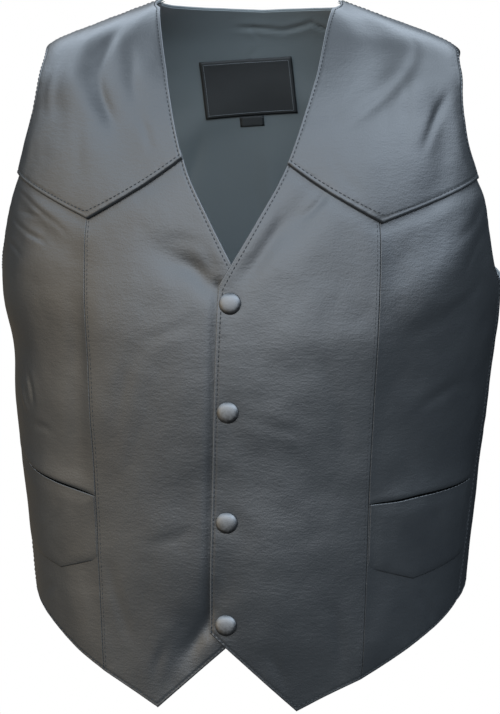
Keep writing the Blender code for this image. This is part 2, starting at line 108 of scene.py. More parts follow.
# Creases in the leather, from one place to another
# Columns: angle and height of the start, angle and height of the end, bow, half width, out
CREASES = (
    (-65, -27, -59, -57, 3, 6.5, -1.5),
    (-59, -57, -45, -106, -3, 6.5, -1.7),
    (-54, -36, -41, -85, 2, 6.0, -0.9),
    (-71, -53, -65, -105, -3, 6.0, 0.6),
    (-58, -91, -51, -159, 3, 7.0, -0.5),
    (-38, -96, -30, -128, 2, 4.0, -0.5),
    (76, -32, 41, -108, 4, 5.5, -1.0),
    (73, -79, 61, -129, -2, 4.5, -1.1),
    (64, -51, 56, -126, 3, 5.0, -0.4),
    (36, -128, 44, -164, -3, 4.5, -0.5),
    (20, -180, 3.5, -241, 2, 8.0, -1.9),
    (34, -159, 25, -182, 2, 3.5, -1.1),
    (-22, -201, -8, -207, 2, 6.0, -0.5),
    (-7.6, -208, -4, -230, -2, 6.0, -0.8),
    (-18, -221, -9.5, -232, 2, 6.5, -0.6),
    (-48.5, -225, -50, -419, 4, 13.0, -1.8),
    (-70, -237, -51, -225, 3, 14.0, 0.4),
    (-72, -168, -57, -195, 2, 2.4, -0.5),
    (-73, -192, -59, -208, -2, 2.4, -0.5),
    (-65, -179, -52, -203, 2, 2.4, -0.4),
    (-75, -214, -66, -226, 2, 2.6, -0.4),
    (-70, -186, -60, -190, 1, 2.2, -0.35),
    (-67, -204, -58, -212, 1, 2.2, -0.35),
    (-14, -217, -4, -250, 0, 8.0, -1.5),
    (-66.5, -329, -64.5, -358, 2, 3.5, -1.1),
    (-70, -340, -67, -366, -2, 4.0, 0.8),
    (-65, -377, -58, -378, 2, 4.0, -0.6),
    (78, -170, 66, -206, 3, 5.0, -0.4),
    (76, -200, 67, -238, -3, 5.5, -0.4),
    (75, -240, 60, -268, 3, 6.0, -0.35),
    (72, -264, 52, -286, -4, 9.0, -0.5),
    (70, -330, 56, -352, -4, 6.0, -0.6),
    (-7, -525, -16, -569, 3, 6.0, -1.6),
    (-22, -556, -28, -594, -2, 5.0, -0.6),
    (14, -566, 20, -600, 3, 5.0, -0.7),
    (34, -520, 38, -580, 4, 6.0, -0.7),
    (-41, -488, -35, -559, -3, 6.0, -0.6),
    (30, -300, 38, -390, 4, 8.0, -0.5),
    (-30, -290, -37, -380, -3, 8.0, -0.5),
    (9, -288, 45, -284, 3, 14.0, 0.4),
    (-12, -270, -30, -288, 3, 5.0, -0.4),
    (10, -356, 26, -366, -2, 5.0, -0.4),
    (-13, -455, -30, -470, 3, 5.0, -0.4),
    (62, -440, 68, -482, 3, 5.0, -0.5),
    (-56, -446, -66, -478, 3, 5.0, -0.5),
    (60, -516, 66, -546, 2, 5.0, -0.7),
    (-62, -520, -70, -540, -2, 5.0, -0.7),
    (104, -70, 122, -120, 4, 6.0, -1.1),
    (256, -72, 240, -116, -4, 6.0, -1.0),
    (118, -52, 138, -84, 3, 5.0, -0.8),
    (243, -50, 224, -88, 3, 5.5, -0.9),
    (112, -214, 134, -236, 4, 5.5, -1.1),
    (106, -232, 124, -262, -3, 5.0, -0.9),
    (249, -216, 228, -240, -4, 5.5, -1.0),
    (255, -236, 238, -268, 3, 5.0, -1.0),
    (150, -168, 176, -182, 4, 6.5, -0.8),
    (212, -176, 186, -196, 3, 6.0, -0.7),
    (166, -300, 158, -392, 5, 8.0, -1.0),
    (194, -310, 205, -405, -5, 8.0, -1.0),
    (92, -300, 112, -318, 3, 5.5, -0.9),
    (268, -296, 246, -322, -3, 5.5, -0.9),
    (90, -380, 106, -392, -3, 5.0, -0.7),
    (272, -372, 254, -388, 3, 5.0, -0.7),
    (124, -466, 120, -520, 4, 6.5, -0.9),
    (236, -458, 241, -516, -4, 6.5, -0.9),
    (172, -452, 178, -520, 4, 7.0, -0.9),
    (150, -498, 146, -528, 2, 5.0, -0.6),
)

# The form of a crease: its bowed line, the raised shoulders beside it, and how it fades at its ends
CREASE_POINTS = 9
CREASE_GAIN = 1.5
CREASE_SHOULDER = 0.4
CREASE_SHOULDER_REACH = 2.4
CREASE_END = 0.02
CREASE_FADE = 0.7
MM_PER_DEGREE = 3.3

# The slow unevenness of soft leather
# Columns: out, length over which it changes, where its pattern starts
SOFTNESS = (
    (0.8, 62, Vector((0, 0, 0))),
    (0.4, 27, Vector((7, 3, 1))),
    (0.14, 11, Vector((0, 0, 0))),
)
LINING_SOFTNESS = 0.5

# Tucks of the lining, in the same columns as the creases
LINING_TUCKS = (
    (197, -28, 168, -30.5, -1, 2.7, 2.3),
    (172, -31, 149, -21, 1, 2.7, 2.5),
    (152, -20.5, 138, -34, 1, 2.8, 2.7),
    (187, -25, 183, -38, 1, 2.6, 1.2),
    (184, -48, 190, -62, 2, 2.4, 0.7),
    (140, -40, 128, -66, 2, 3.0, 0.8),
    (222, -60, 232, -110, 4, 5.0, -1.0),
    (138, -84, 130, -140, -4, 5.0, -1.0),
    (152, -118, 146, -190, 4, 7.0, 1.2),
    (208, -126, 214, -200, -4, 7.0, 1.2),
    (180, -140, 176, -240, 5, 9.0, -1.4),
    (160, -240, 156, -420, 6, 12.0, 1.8),
    (202, -250, 206, -430, -6, 12.0, 1.8),
    (126, -260, 122, -420, 5, 10.0, -1.4),
    (236, -262, 239, -430, -5, 10.0, -1.4),
    (176, -420, 182, -520, 4, 9.0, 1.2),
)

# Shoulders, armholes and side seams; an edge's points are places on the wearer's left
SHOULDER_ANGLE = 90.0
SHOULDER_TIP_HEIGHT = -41.0
SIDE_SEAM_ANGLE = 78.5
FRONT_ARMHOLE = {
    1: (
        (86, -246), (81.5, -230), (79.6, -205), (78.8, -178), (76.9, -152), (75.3, -125),
        (76.2, -100), (78, -78), (81.5, -60), (85, -49), (90, -41),
    ),
    -1: (
        (86, -246), (81, -228), (78, -203), (75.6, -176), (73.6, -150), (73.2, -122),
        (73.6, -98), (75.2, -74), (78.2, -59), (82, -48), (90, -41),
    ),
}
BACK_ARMHOLE = (
    (86, -246), (93, -245.6), (100, -243.6), (106, -237), (109.8, -222),
    (111.8, -188), (112, -150), (110, -104), (103, -60), (90, -41),
)
ARMHOLE_TURN_HEIGHT = -222.0
BACK_NECK = ((90, 0), (104, -4), (130, -9), (180, -13))

# The closure: the left front laps over the right one, and the front hangs a little out of plumb
# The neckline's points are (distance from the closure line, height)
NECKLINE = ((-11, -241), (21, -184), (44.5, -137), (62, -75), (73, -22), (76.5, -6))
EDGE_PAST_CENTRE_TOP = 11.0
EDGE_PAST_CENTRE_HEM = 15.0
LAPPED_TO = 34.0
LAP_ENDS_AT = 110.0
LAP_FULL_BELOW = -215.0
LAP_GONE_ABOVE = -150.0
FRONT_LEAN = 0.0176
LEAN_PIVOT_HEIGHT = -390.0
LEAN_REACH = 180.0
LEAN_FULL_BELOW = -60.0

# Yoke, princess seam, hem and pockets
YOKE_INNER_HEIGHT = {1: -137.0, -1: -133.0}
YOKE_POINT = (128.5, -187.5)
YOKE_OUTER_HEIGHT = -154.0
YOKE_LAP = 8.0
YOKE_FULL_LIFT = 18.0
YOKE_NO_LIFT = 120.0
PRINCESS = ((47.4, -187.5), (45.2, -280), (44.4, -390), (44.5, -490), (44.2, -591))
FRONT_CORNER_HEIGHT = -548.0
FRONT_TIP = (63.0, -620.0)
SIDE_HEM = ((44.2, -591), (55, -573), (63, -558.5), (71, -546), (78.5, -535))
BACK_HEM = ((78.5, -535), (92, -529), (130, -530), (180, -532))
POCKET_TOP = {
    1: ((44.4, -432), (51.9, -431), (58.9, -428), (66.8, -426), (78.5, -422)),
    -1: ((44.4, -431), (51.9, -427), (58.9, -423), (67.4, -416.5), (78.5, -401)),
}
POCKET_BOTTOM_INNER = -489.0
POCKET_POINT = (58.4, -502.5)
POCKET_BOTTOM_OUTER = -489.0
POCKET_INSET = 1.5

# Snaps on the closure line, and the label inside the back neck
SNAP_HEIGHTS = (-255.0, -349.0, -447.0, -540.0)
SNAP_BASE = 3.0
# Columns of a cap's profile: radius, rise
SNAP_PROFILE = (
    (8.9, 0.0), (9.35, 0.15), (9.5, 0.5), (9.45, 0.85), (9.2, 1.15), (8.8, 1.55), (8.25, 2.05), (7.6, 2.5),
    (6.8, 2.85), (5.9, 3.1), (4.8, 3.3), (3.4, 3.46), (1.7, 3.55),
)
SNAP_CROWN = 3.58
SNAP_SEGMENTS = 56
SNAP_SHARP = 50.0
SNAP_DIMPLE = (10.5, -0.9)
LABEL_CENTRE = (-17.8, -85.0)
LABEL_SIZE = (88.0, 55.0)
LABEL_TILT = 4.2
LABEL_BORDER = 3.4
TAB_SIZE = (23.0, 10.0)
TAB_SHIFT = -0.5
TAB_GAP = 0.3

# How the side panel sinks beside the princess seam, and how its lip stands out over the slit
# The slit's dark line is painted shade, carried by an attribute that reads the zero value below along it, and 0
# on a piece without one
SEAM_SINK = 2.4
SEAM_SINK_NEAR = 13.0
SEAM_SINK_FAR = 55.0
SLIT_LIP = 2.2
SLIT_STEP = 3.0
SLIT_REACH = 16.0
SLIT_SHADE_ZERO = 100.0
SLIT_SHADE_MIDDLE = 1.0
SLIT_SHADE_HALF = 1.3
SLIT_SHADE_BLUR = 0.5
SLIT_SHADE_END = 0.05

# The yoke's folded lower edge rolls down to the panels below it, and its lift is less beside the armhole
YOKE_ROLL = 2.6
YOKE_DROP = 2.6
YOKE_STITCH_BAND = 6
ARMHOLE_LIFT = 0.4
ARMHOLE_LIFT_REACH = 16.0

# Relief beside an edge, each as depth and reach: under a yoke, under the lapping front, along stitching
PRESSED = (1.4, 9.0)
OVERLAPPED = (2.4, 4.5)
CHANNEL = (0.4, 0.7)
SEAM_GROOVE = (0.2, 1.2)
SEAM_CHANNEL = (0.2, 0.6)

# Puckers along stitching: height, reach, length, and how they drift and swell on the way
PUCKER_OUT = 0.12
PUCKER_REACH = 3.5
PUCKER_LENGTH = 2.3
PUCKER_DRIFT = 2.2
PUCKER_DRIFT_LENGTH = 11.0
PUCKER_LEAST = 0.6
PUCKER_SWELL = 0.4
PUCKER_SWELL_LENGTH = 37.0

# Steps of the grids: fine bands beside each edge, and how finely each coarse step is cut
BAND = np.array([0.0, 0.3, 0.8, 1.6, 2.5, 3.4, 4.3, 5.5, 7.4])
STITCH_BAND = 4
STITCH_IN = BAND[STITCH_BAND]
FINE = 5
LINING_FINE = 6
SIDE_FINE = 9
LABEL_FINE = 5
TAB_FINE = 4
TAG_STEP = 11
BACK_SIDE_STEPS = 4
BACK_MIDDLE_STEPS = 26
DENSE = 40
WALK_ROUNDS = 8
EVENING_ROUNDS = 40
LINE_STEP = 2.5

# The studio's dome of light: how bright it is at each elevation, towards five turns from the front
DOME_TURNS = (-115, -55, 0, 55, 115)
DOME = (
    (-45, 0.0, 0.0, 0.0, 0.0, 0.0),
    (-21, 0.2, 0.9, 0.0, 0.0, 0.0),
    (-6, 0.1, 1.8, 2.3, 0.0, 0.0),
    (6, 0.0, 2.9, 6.0, 0.4, 0.0),
    (19, 0.5, 3.6, 5.4, 4.6, 0.1),
    (38, 4.9, 4.7, 5.0, 8.3, 4.8),
    (70, 0.9, 0.9, 1.4, 1.9, 1.9),
)
DOME_PEAK = 9.0
# Its tint low down towards each turn, and the one that all of them have high up
DOME_LOW_TINT = ("#ffe7c2", "#ffe8c4", "#edf2f8", "#d8e8ff", "#e4eef8")
DOME_HIGH_TINT = "#dae9f9"
DOME_TINT_FROM = -6
DOME_TINT_SPAN = 44

# Sizes of the finishes' patterns, and how far from an edge the leather is worn pale and painted with a
# highlight
LEATHER_CLOUD = 71.4
LEATHER_SHINE = 0.55
GRAIN = 1.389
HIDE_PATCH = 3.846
HIDE_LINE_LENGTH = 7.692
HIDE_LINE_WIDTH = 2.632
WEAR_AND_HIGHLIGHT_FULL = 0.5
WEAR_AND_HIGHLIGHT_NONE = 1.3
LINING_CLOUD = 111.0
LINING_THREADS = 0.8637
LABEL_THREADS = 0.952
TUMBLED = 2.632

# How far apart a wave texture's bands are at a scale of 1: level ones, and ones across all three axes
LEVEL_BAND = 2 * math.pi / 20
DIAGONAL_BAND = 2 * math.pi / (10 * math.sqrt(3))

# Camera and floor
CAMERA_TARGET = (-0.9, 0.0, -324.1)
CAMERA_TURN = 8.0
CAMERA_RISE = 9.0
CAMERA_DISTANCE = 2600.0
CAMERA_LENS = 144.0
CAMERA_SENSOR = 36.0
FLOOR_HALF = 1400.0
FLOOR_HEIGHT = -1100.0

# Stitching, with a finer thread on the princess seams and a close one round the label
STITCH_PITCH = 4.1
STITCH_LENGTH = 3.0
THREAD_RADIUS = 0.5
THREAD_STANDS = 0.06
SEAM_THREAD_RADIUS = 0.26
BORDER_PITCH = 1.5
BORDER_LENGTH = 1.7
BORDER_RADIUS = 0.3
ROW_STEP = 2.0


def smoothstep(value):
    """A smooth rise from 0 to 1, flat at both ends."""
    value = np.clip(value, 0.0, 1.0)
    return value * value * (3.0 - 2.0 * value)


def ring_at(height):
    """Half width, front depth, back depth and squareness of the form at these heights."""
    rows = np.array(RINGS[::-1], float)
    levels = rows[:, 0]
    below = np.clip(np.searchsorted(levels, height) - 1, 0, len(levels) - 2)
    span = levels[below + 1] - levels[below]
    share = (height - levels[below]) / span
    found = []
    for column in rows[:, 1:].T:
        slope = np.gradient(column, levels)
        found.append(
            (2 * share**3 - 3 * share**2 + 1) * column[below]
            + (share**3 - 2 * share**2 + share) * span * slope[below]
            + (3 * share**2 - 2 * share**3) * column[below + 1]
            + (share**3 - share**2) * span * slope[below + 1]
        )
    return found


def form_point(place):
    """The point of the smooth form at each place, in millimetres."""
    angle, height = np.radians(place[..., 0]), place[..., 1]
    half_width, front, back, square = ring_at(height)
    depth = np.where(np.cos(angle) > 0, front, back)
    across = np.abs(np.sin(angle) / half_width) ** square
    along = np.abs(np.cos(angle) / depth) ** square
    radius = (across + along) ** (-1.0 / square)
    return np.stack([radius * np.sin(angle), -radius * np.cos(angle), height], axis=-1)


def form_normal(place):
    """The form's outward direction at each place."""
    turn, rise = np.array([0.2, 0.0]), np.array([0.0, 0.5])
    round_it = form_point(place + turn) - form_point(place - turn)
    up_it = form_point(place + rise) - form_point(place - rise)
    normal = np.cross(round_it, up_it)
    return normal / np.linalg.norm(normal, axis=-1, keepdims=True)


def fold_out(place):
    """How far the folds move the cloth out at each place."""
    point = form_point(place)
    radius = np.hypot(point[..., 0], point[..., 1])
    total = np.zeros(place.shape[:-1])
    for angle, height, run, half_length, half_width, out in FOLDS + HANG:
        turn = (place[..., 0] - angle + 180.0) % 360.0 - 180.0
        level, rise = np.radians(turn) * radius, place[..., 1] - height
        tilt = np.radians(run)
        along = level * np.cos(tilt) + rise * np.sin(tilt)
        across = rise * np.cos(tilt) - level * np.sin(tilt)
        total += out * np.exp(-((along / half_length) ** 2) - (across / half_width) ** 2)
    return total


def lean(x, height):
    """How far the front's own lines hang out of plumb, fading out at the sides and at the shoulders."""
    reach = np.clip(1.0 - (x / LEAN_REACH) ** 2, 0.0, 1.0)
    drop = np.clip(height / LEAN_FULL_BELOW, 0.0, 1.0)
    return FRONT_LEAN * (height - LEAN_PIVOT_HEIGHT) * reach * drop


def place_at(x, height, behind=False):
    """The place on the form with this x, on the front or on the back."""
    half_width, front, back, square = ring_at(height)
    depth = back if behind else -front
    y = depth * np.clip(1.0 - np.abs(x / half_width) ** square, 0.0, 1.0) ** (1.0 / square)
    angle = np.degrees(np.arctan2(x, -y))
    return np.stack([angle % 360.0 if behind else angle, height], axis=-1)


def front_place(side, x, height):
    """The place x from the closure line on the front of this side: 1 is the wearer's left, -1 the right."""
    return place_at(side * x + lean(x, height), height)


def straight(points):
    """A dense run of pairs along straight lines through the points."""
    points = np.array(points, float)
    share = np.linspace(0.0, len(points) - 1.0, DENSE * (len(points) - 1) + 1)
    return np.stack([np.interp(share, range(len(points)), column) for column in points.T], axis=-1)


def curved(points):
    """A dense run of pairs along a smooth curve through the points."""
    points = np.array(points, float)
    slope = np.gradient(points, axis=0)
    share = np.linspace(0.0, len(points) - 1.0, DENSE * (len(points) - 1) + 1)
    below = np.minimum(share.astype(int), len(points) - 2)
    part = (share - below)[:, None]
    return (
        (2 * part**3 - 3 * part**2 + 1) * points[below]
        + (part**3 - 2 * part**2 + part) * slope[below]
        + (3 * part**2 - 2 * part**3) * points[below + 1]
        + (part**3 - part**2) * slope[below + 1]
    )


def on_front(side, run):
    """A run of (x, height) pairs on one side's front, as places."""
    return front_place(side, run[:, 0], run[:, 1])


def on_side(side, run):
    """A run of places given for the wearer's left, on either side."""
    return run * np.array([side, 1.0])


def lengths(run):
    """How far along a run of places each of them lies, on the form."""
    step = np.linalg.norm(np.diff(form_point(run), axis=0), axis=1)
    return np.concatenate([[0.0], np.cumsum(step)])


def at_lengths(run, wanted):
    """The places that lie these lengths along a run."""
    return np.stack([np.interp(wanted, lengths(run), column) for column in run.T], axis=-1)


def joined(*runs):
    """One edge from runs that follow on from each other, with each shared corner kept once."""
    return np.concatenate([runs[0]] + [run[1:] for run in runs[1:]])


def shifted(run, distance):
    """A run moved round the body by this distance, towards the wearer's left."""
    point = form_point(run)
    turn = np.degrees(distance / np.hypot(point[:, 0], point[:, 1]))
    return np.stack([run[:, 0] + turn, run[:, 1]], axis=-1)


def other_side(run):
    """A run on the left half of the back, as it lies on the right half, followed the other way."""
    return np.stack([360.0 - run[::-1, 0], run[::-1, 1]], axis=-1)


def cut_at(run, height):
    """The part of a rising run that lies above this height."""
    start = np.array([np.interp(height, run[:, 1], column) for column in run.T])
    return np.concatenate([[start], run[run[:, 1] > height]])


def cut_below(run, height):
    """The part of a rising run that lies below this height."""
    end = np.array([np.interp(height, run[:, 1], column) for column in run.T])
    return np.concatenate([run[run[:, 1] < height], [end]])


def places_under(point):
    """The places of the form nearest to these points, found by walking down the form's own formula."""
    def height_over_form(point):
        half_width, front, back, square = ring_at(point[..., 2])
        depth = np.where(point[..., 1] < 0, front, back)
        across, along = np.abs(point[..., 0] / half_width), np.abs(point[..., 1] / depth)
        return (across**square + along**square) ** (1.0 / square) - 1.0

    for _ in range(WALK_ROUNDS):
        steps = np.eye(3) / 2
        slope = [height_over_form(point + step) - height_over_form(point - step) for step in steps]
        slope = np.stack(slope, axis=-1)
        point = point - slope * (height_over_form(point) / (slope**2).sum(axis=-1))[..., None]
    return np.stack([np.degrees(np.arctan2(point[..., 0], -point[..., 1])), point[..., 2]], axis=-1)


def patch(bottom, top, left, right):
    """A coarse grid of points filled in between four edges and evened out on the form."""
    across = np.linspace(0.0, 1.0, len(bottom))[None, :, None]
    up = np.linspace(0.0, 1.0, len(left))[:, None, None]
    bottom, top, left, right = map(form_point, (bottom, top, left, right))
    rails = (1 - up) * bottom[None] + up * top[None]
    rails = rails + (1 - across) * left[:, None] + across * right[:, None]
    corners = (
        (1 - up) * ((1 - across) * bottom[0] + across * bottom[-1])
        + up * ((1 - across) * top[0] + across * top[-1])
    )
    point = rails - corners
    for _ in range(EVENING_ROUNDS):
        point = form_point(places_under(point))
        around = point[:-2, 1:-1] + point[2:, 1:-1] + point[1:-1, :-2] + point[1:-1, 2:]
        point[1:-1, 1:-1] = around / 4
    return form_point(places_under(point))


@dataclass
class Run:
    """A stretch of an edge in coarse steps, which get fine where it meets another edge of the cloth."""

    places: np.ndarray
    steps: int
    start: bool = False
    end: bool = False


def stations(runs, fine):
    """The places along an edge, and how many coarse steps along it each one lies."""
    places, counted, before = [], [], 0
    for run in runs:
        total = lengths(run.places)[-1]
        low = BAND[-1] if run.start and fine > 1 else 0.0
        high = total - BAND[-1] if run.end and fine > 1 else total
        at = np.linspace(low, high, run.steps * fine + 1)
        if low > 0.0:
            at = np.concatenate([BAND[:-1], at])
        if high < total:
            at = np.concatenate([at, total - BAND[-2::-1]])
        first = 1 if places else 0
        places.append(at_lengths(run.places, at)[first:])
        counted.append((before + at / total * run.steps)[first:])
        before += run.steps
    return np.concatenate(places), np.concatenate(counted)


def between(grid, up, across):
    """Points part way between a grid's own."""
    row = np.clip(up.astype(int), 0, grid.shape[0] - 2)
    column = np.clip(across.astype(int), 0, grid.shape[1] - 2)
    p, q = (up - row)[..., None], (across - column)[..., None]
    low = (1 - q) * grid[row, column] + q * grid[row, column + 1]
    high = (1 - q) * grid[row + 1, column] + q * grid[row + 1, column + 1]
    return (1 - p) * low + p * high


def fill(bottom, top, left, right, fine):
    """A fine grid of places between four edges, each a list of runs from left to right or from below."""
    edges = (bottom, top, left, right)
    coarse = patch(*(stations(edge, 1)[0] for edge in edges))
    (low, across_low), (high, across_high), (near, up_near), (far, up_far) = (
        stations(edge, fine) for edge in edges
    )
    up = ((up_near + up_far) / (2 * up_near[-1]))[:, None]
    across = ((across_low + across_high) / (2 * across_low[-1]))[None]
    point = between(
        coarse,
        up_near[:, None] * (1 - across) + up_far[:, None] * across,
        across_low[None] * (1 - up) + across_high[None] * up,
    )
    up, across = up[..., None], across[..., None]
    low_off, high_off = form_point(low) - point[0], form_point(high) - point[-1]
    near_off, far_off = form_point(near) - point[:, 0], form_point(far) - point[:, -1]
    point = point + (1 - up) * low_off[None] + up * high_off[None]
    point = point + (1 - across) * near_off[:, None] + across * far_off[:, None]
    grid = places_under(point)
    grid[0], grid[-1], grid[:, 0], grid[:, -1] = low, high, near, far
    return grid


def nearest(point, line):
    """Each point's distance to a line, and how far along the line its nearest spot lies."""
    best, along, before = np.full(len(point), np.inf), np.zeros(len(point)), 0.0
    for start, end in zip(line[:-1], line[1:]):
        step = end - start
        length = np.linalg.norm(step)
        share = np.clip((point - start) @ step / length**2, 0.0, 1.0)
        away = np.linalg.norm(point - start - share[:, None] * step, axis=1)
        closer = away < best
        best[closer], along[closer] = away[closer], before + share[closer] * length
        before += length
    return best, along


def crease_line(row):
    """The points along one crease, bowed to one side."""
    angle, height, end_angle, end_height, bow = row[:5]
    share = np.linspace(0.0, 1.0, CREASE_POINTS)
    level, rise = MM_PER_DEGREE * (end_angle - angle), end_height - height
    length = math.hypot(level, rise)
    aside = 4 * bow * share * (1 - share)
    return form_point(np.stack([
        angle + share * (end_angle - angle) - aside * rise / length / MM_PER_DEGREE,
        height + share * rise + aside * level / length,
    ], axis=-1))


def crease_out(point, rows):
    """How far these creases move the cloth out: a soft trough or ridge that fades at both its ends."""
    total = np.zeros(len(point))
    for row in rows:
        line, half_width, out = crease_line(row), row[5], row[6]
        reach = 3 * half_width + np.linalg.norm(line[-1] - line[0])
        close = np.linalg.norm(point - line[len(line) // 2], axis=1) < reach
        if not close.any():
            continue
        away, along = nearest(point[close], line)
        share = along / np.linalg.norm(np.diff(line, axis=0), axis=1).sum()
        fade = np.sin(np.pi * np.clip(share, CREASE_END, 1.0 - CREASE_END)) ** CREASE_FADE
        shoulder = CREASE_SHOULDER * np.exp(-((away / (CREASE_SHOULDER_REACH * half_width)) ** 2))
        trough = np.exp(-((away / half_width) ** 2)) - shoulder
        total[close] += CREASE_GAIN * out * fade * trough
    return total


def softness(point):
    """How far the slow unevenness of soft leather moves the cloth out."""
    return np.array([
        sum(out * noise.noise(p / length + start) for out, length, start in SOFTNESS)
        for p in map(Vector, point)
    ])


def groove(away, depth, reach):
    """How far a soft groove moves the cloth out, this far away from its middle."""
    return -depth * np.exp(-((away / reach) ** 2))


def relief(kind, away, along):
    """How an edge shapes the cloth beside it: a pressed line, the channel of its stitching, small puckers."""
    if kind in ("hidden", "princess", "merged", "bevelled"):
        return np.zeros(len(away))
    if kind == "pressed":
        return groove(away, *PRESSED)
    if kind == "overlapped":
        return groove(away, *OVERLAPPED)
    drift = PUCKER_DRIFT * np.sin(along / PUCKER_DRIFT_LENGTH)
    swell = PUCKER_LEAST + PUCKER_SWELL * np.sin(along / PUCKER_SWELL_LENGTH)
    puckers = np.sin(along / PUCKER_LENGTH + drift) * swell
    out = PUCKER_OUT * puckers * np.exp(-((away - PUCKER_REACH) / PUCKER_REACH) ** 2)
    if kind == "folded":
        return out + groove(away - BAND[YOKE_STITCH_BAND], *CHANNEL)
    if kind == "seam":
        return out + groove(away, *SEAM_GROOVE)
    if kind == "stitched seam":
        return out + groove(away, *SEAM_GROOVE) + groove(away - STITCH_IN, *SEAM_CHANNEL)
    return out + groove(away - STITCH_IN, *CHANNEL)


def sheet_of(grids):
    """Grids that share edges as one sheet: which of their places to keep, and the cells between those."""
    cells, start = [], 0
    for grid in grids:
        rows, columns = grid.shape[:2]
        number = start + np.arange(rows * columns).reshape(rows, columns)
        corners = (number[:-1, :-1], number[:-1, 1:], number[1:, 1:], number[1:, :-1])
        cells.append(np.stack(corners, axis=-1).reshape(-1, 4))
        start += rows * columns
    points = np.concatenate([form_point(grid).reshape(-1, 3) for grid in grids])
    _, kept, same = np.unique(np.round(points, 3) + 0.0, axis=0, return_index=True, return_inverse=True)
    return kept, same.reshape(-1)[np.concatenate(cells)]


class Panel:
    """One cut piece of cloth on the form: a closed thin shell with rounded edges, and rows of stitches."""

    def __init__(self, name, node, grids, edges, thick, lift, creases, slot):
        self.name, self.node, self.grids, self.slot = name, node, grids, slot
        self.thick, self.lift, self.creases = thick, lift, creases
        self.lines = []
        for run, kind in edges:
            wanted = np.linspace(0.0, lengths(run)[-1], max(2, int(lengths(run)[-1] / LINE_STEP)) + 1)
            self.lines.append((form_point(at_lengths(run, wanted)), kind))
        self.rows, self.seam_rows, self.slit = [], [], None

    def shape(self, place, rim=None):
        """The outer and inner points of the cloth at each place."""
        point, normal = form_point(place), form_normal(place)
        out = fold_out(place) + self.lift(place, point, self) - self.thick / 2
        out = out + crease_out(point, self.creases) + softness(point)
        edge = np.full(len(place), np.inf)
        for line, kind in self.lines:
            away, along = nearest(point, line)
            out = out + relief(kind, away, along)
            if kind not in ("pressed", "overlapped"):
                edge = np.minimum(edge, away / EDGE_ROUND.get(kind, PLAIN_ROUND))
        if rim is not None:
            edge[rim] = 0.0
        half = self.thick / 2 * np.sqrt(1 - (1 - np.clip(edge, 0, 1)) ** 2)
        # A pocket thins from outside alone, because its inner face stays on the panel
        if self.lift is pocket_lift:
            out = out + half - self.thick / 2
        return point + normal * (out + half)[:, None], point + normal * (out - half)[:, None]

    def rubbed(self, place):
        """Each place's distance from the nearest edge that is worn pale and painted with a highlight."""
        found = np.full(len(place), FAR)
        for line, kind in self.lines:
            if kind == "rubbed":
                found = np.minimum(found, nearest(form_point(place), line)[0])
        return found

    def build(self, materials):
        """The mesh object of the cloth, with its inner face in the second material."""
        kept, cells = sheet_of(self.grids)
        place = np.concatenate([grid.reshape(-1, 2) for grid in self.grids])[kept]
        ends = np.sort(np.concatenate([cells[:, [i, (i + 1) % 4]] for i in range(4)]), axis=1)
        ends, uses = np.unique(ends, axis=0, return_counts=True)
        rim = np.unique(ends[uses == 1])
        outer, inner = self.shape(place, rim)
        a, b, c, d = (outer[cells[:, i]] for i in range(4))
        facing = np.cross(c - a, d - b)
        if (facing * form_normal(place[cells[:, 0]])).sum() < 0:
            cells = cells[:, ::-1]
        self.area = np.linalg.norm(facing, axis=1).sum() / 2 * MM**2
        number = np.arange(len(place)) + len(place)
        number[rim] = rim
        below = number[cells[:, ::-1]]
        mesh = bpy.data.meshes.new(self.name)
        points, faces = np.concatenate([outer, inner]) * MM, np.concatenate([cells, below])
        mesh.from_pydata(points.tolist(), [], faces.tolist())
        for material in materials:
            mesh.materials.append(material)
        of_face = np.repeat([0, len(materials) - 1], len(cells)).astype(np.int32)
        mesh.polygons.foreach_set("material_index", of_face)
        # Distance to the edges that are worn pale and also painted with a highlight, read by the leather's
        # colour
        wear_and_highlight_share = mesh.attributes.new("wear_and_highlight_mm", "FLOAT", "POINT")
        wear_and_highlight_share.data.foreach_set("value", np.tile(self.rubbed(place), 2).astype(np.float32))
        # The pocket slit's painted shade line is carried to the leather's colour by this attribute
        if self.slit is not None:
            over, along = above_slit(place, self.slit)
            slit_shade = mesh.attributes.new("slit_shade_mm", "FLOAT", "POINT")
            slit_shade_value = SLIT_SHADE_ZERO + over / np.maximum(np.sqrt(np.sin(np.pi * along)), SLIT_SHADE_END)
            slit_shade.data.foreach_set("value", np.tile(slit_shade_value, 2).astype(np.float32))
        shape = bmesh.new()
        shape.from_mesh(mesh)
        bmesh.ops.delete(shape, geom=[v for v in shape.verts if not v.link_faces], context="VERTS")
        shape.to_mesh(mesh)
        shape.free()
        mesh.shade_smooth()
        return shown(self.name, mesh)

    def flat(self):
        """The width and length of the cut, along the longest row and the longest column of its grids."""
        def longest(grid, axis):
            return np.linalg.norm(np.diff(form_point(grid), axis=axis), axis=2).sum(axis=axis).max()

        rows = max(longest(grid, 1) for grid in self.grids)
        columns = sum(longest(grid, 0) for grid in self.grids)
        return rows * MM, columns * MM


def shown(name, data):
    """A new object in the scene."""
    found = bpy.data.objects.new(name, data)
    bpy.context.scene.collection.objects.link(found)
    return found


# Panels

def front_armhole(side):
    """The front edge of one armhole, from the side seam up to the shoulder."""
    return on_side(side, curved(FRONT_ARMHOLE[side]))


def neckline(side):
    """The front neckline of one side, from the bottom of the V up to the neck point."""
    run = on_front(side, curved(NECKLINE))
    return joined(run, straight([run[-1], (side * SHOULDER_ANGLE, 0.0)]))


def princess(side):
    """The seam from the hem up to the yoke's point, and on under the yoke."""
    seam = on_side(side, curved(PRINCESS))[::-1]
    return joined(seam, straight([seam[-1], seam[-1] + (0.0, YOKE_LAP)]))


def no_lift(place, point, panel):
    """A panel that lies on the form."""
    return np.zeros(len(place))


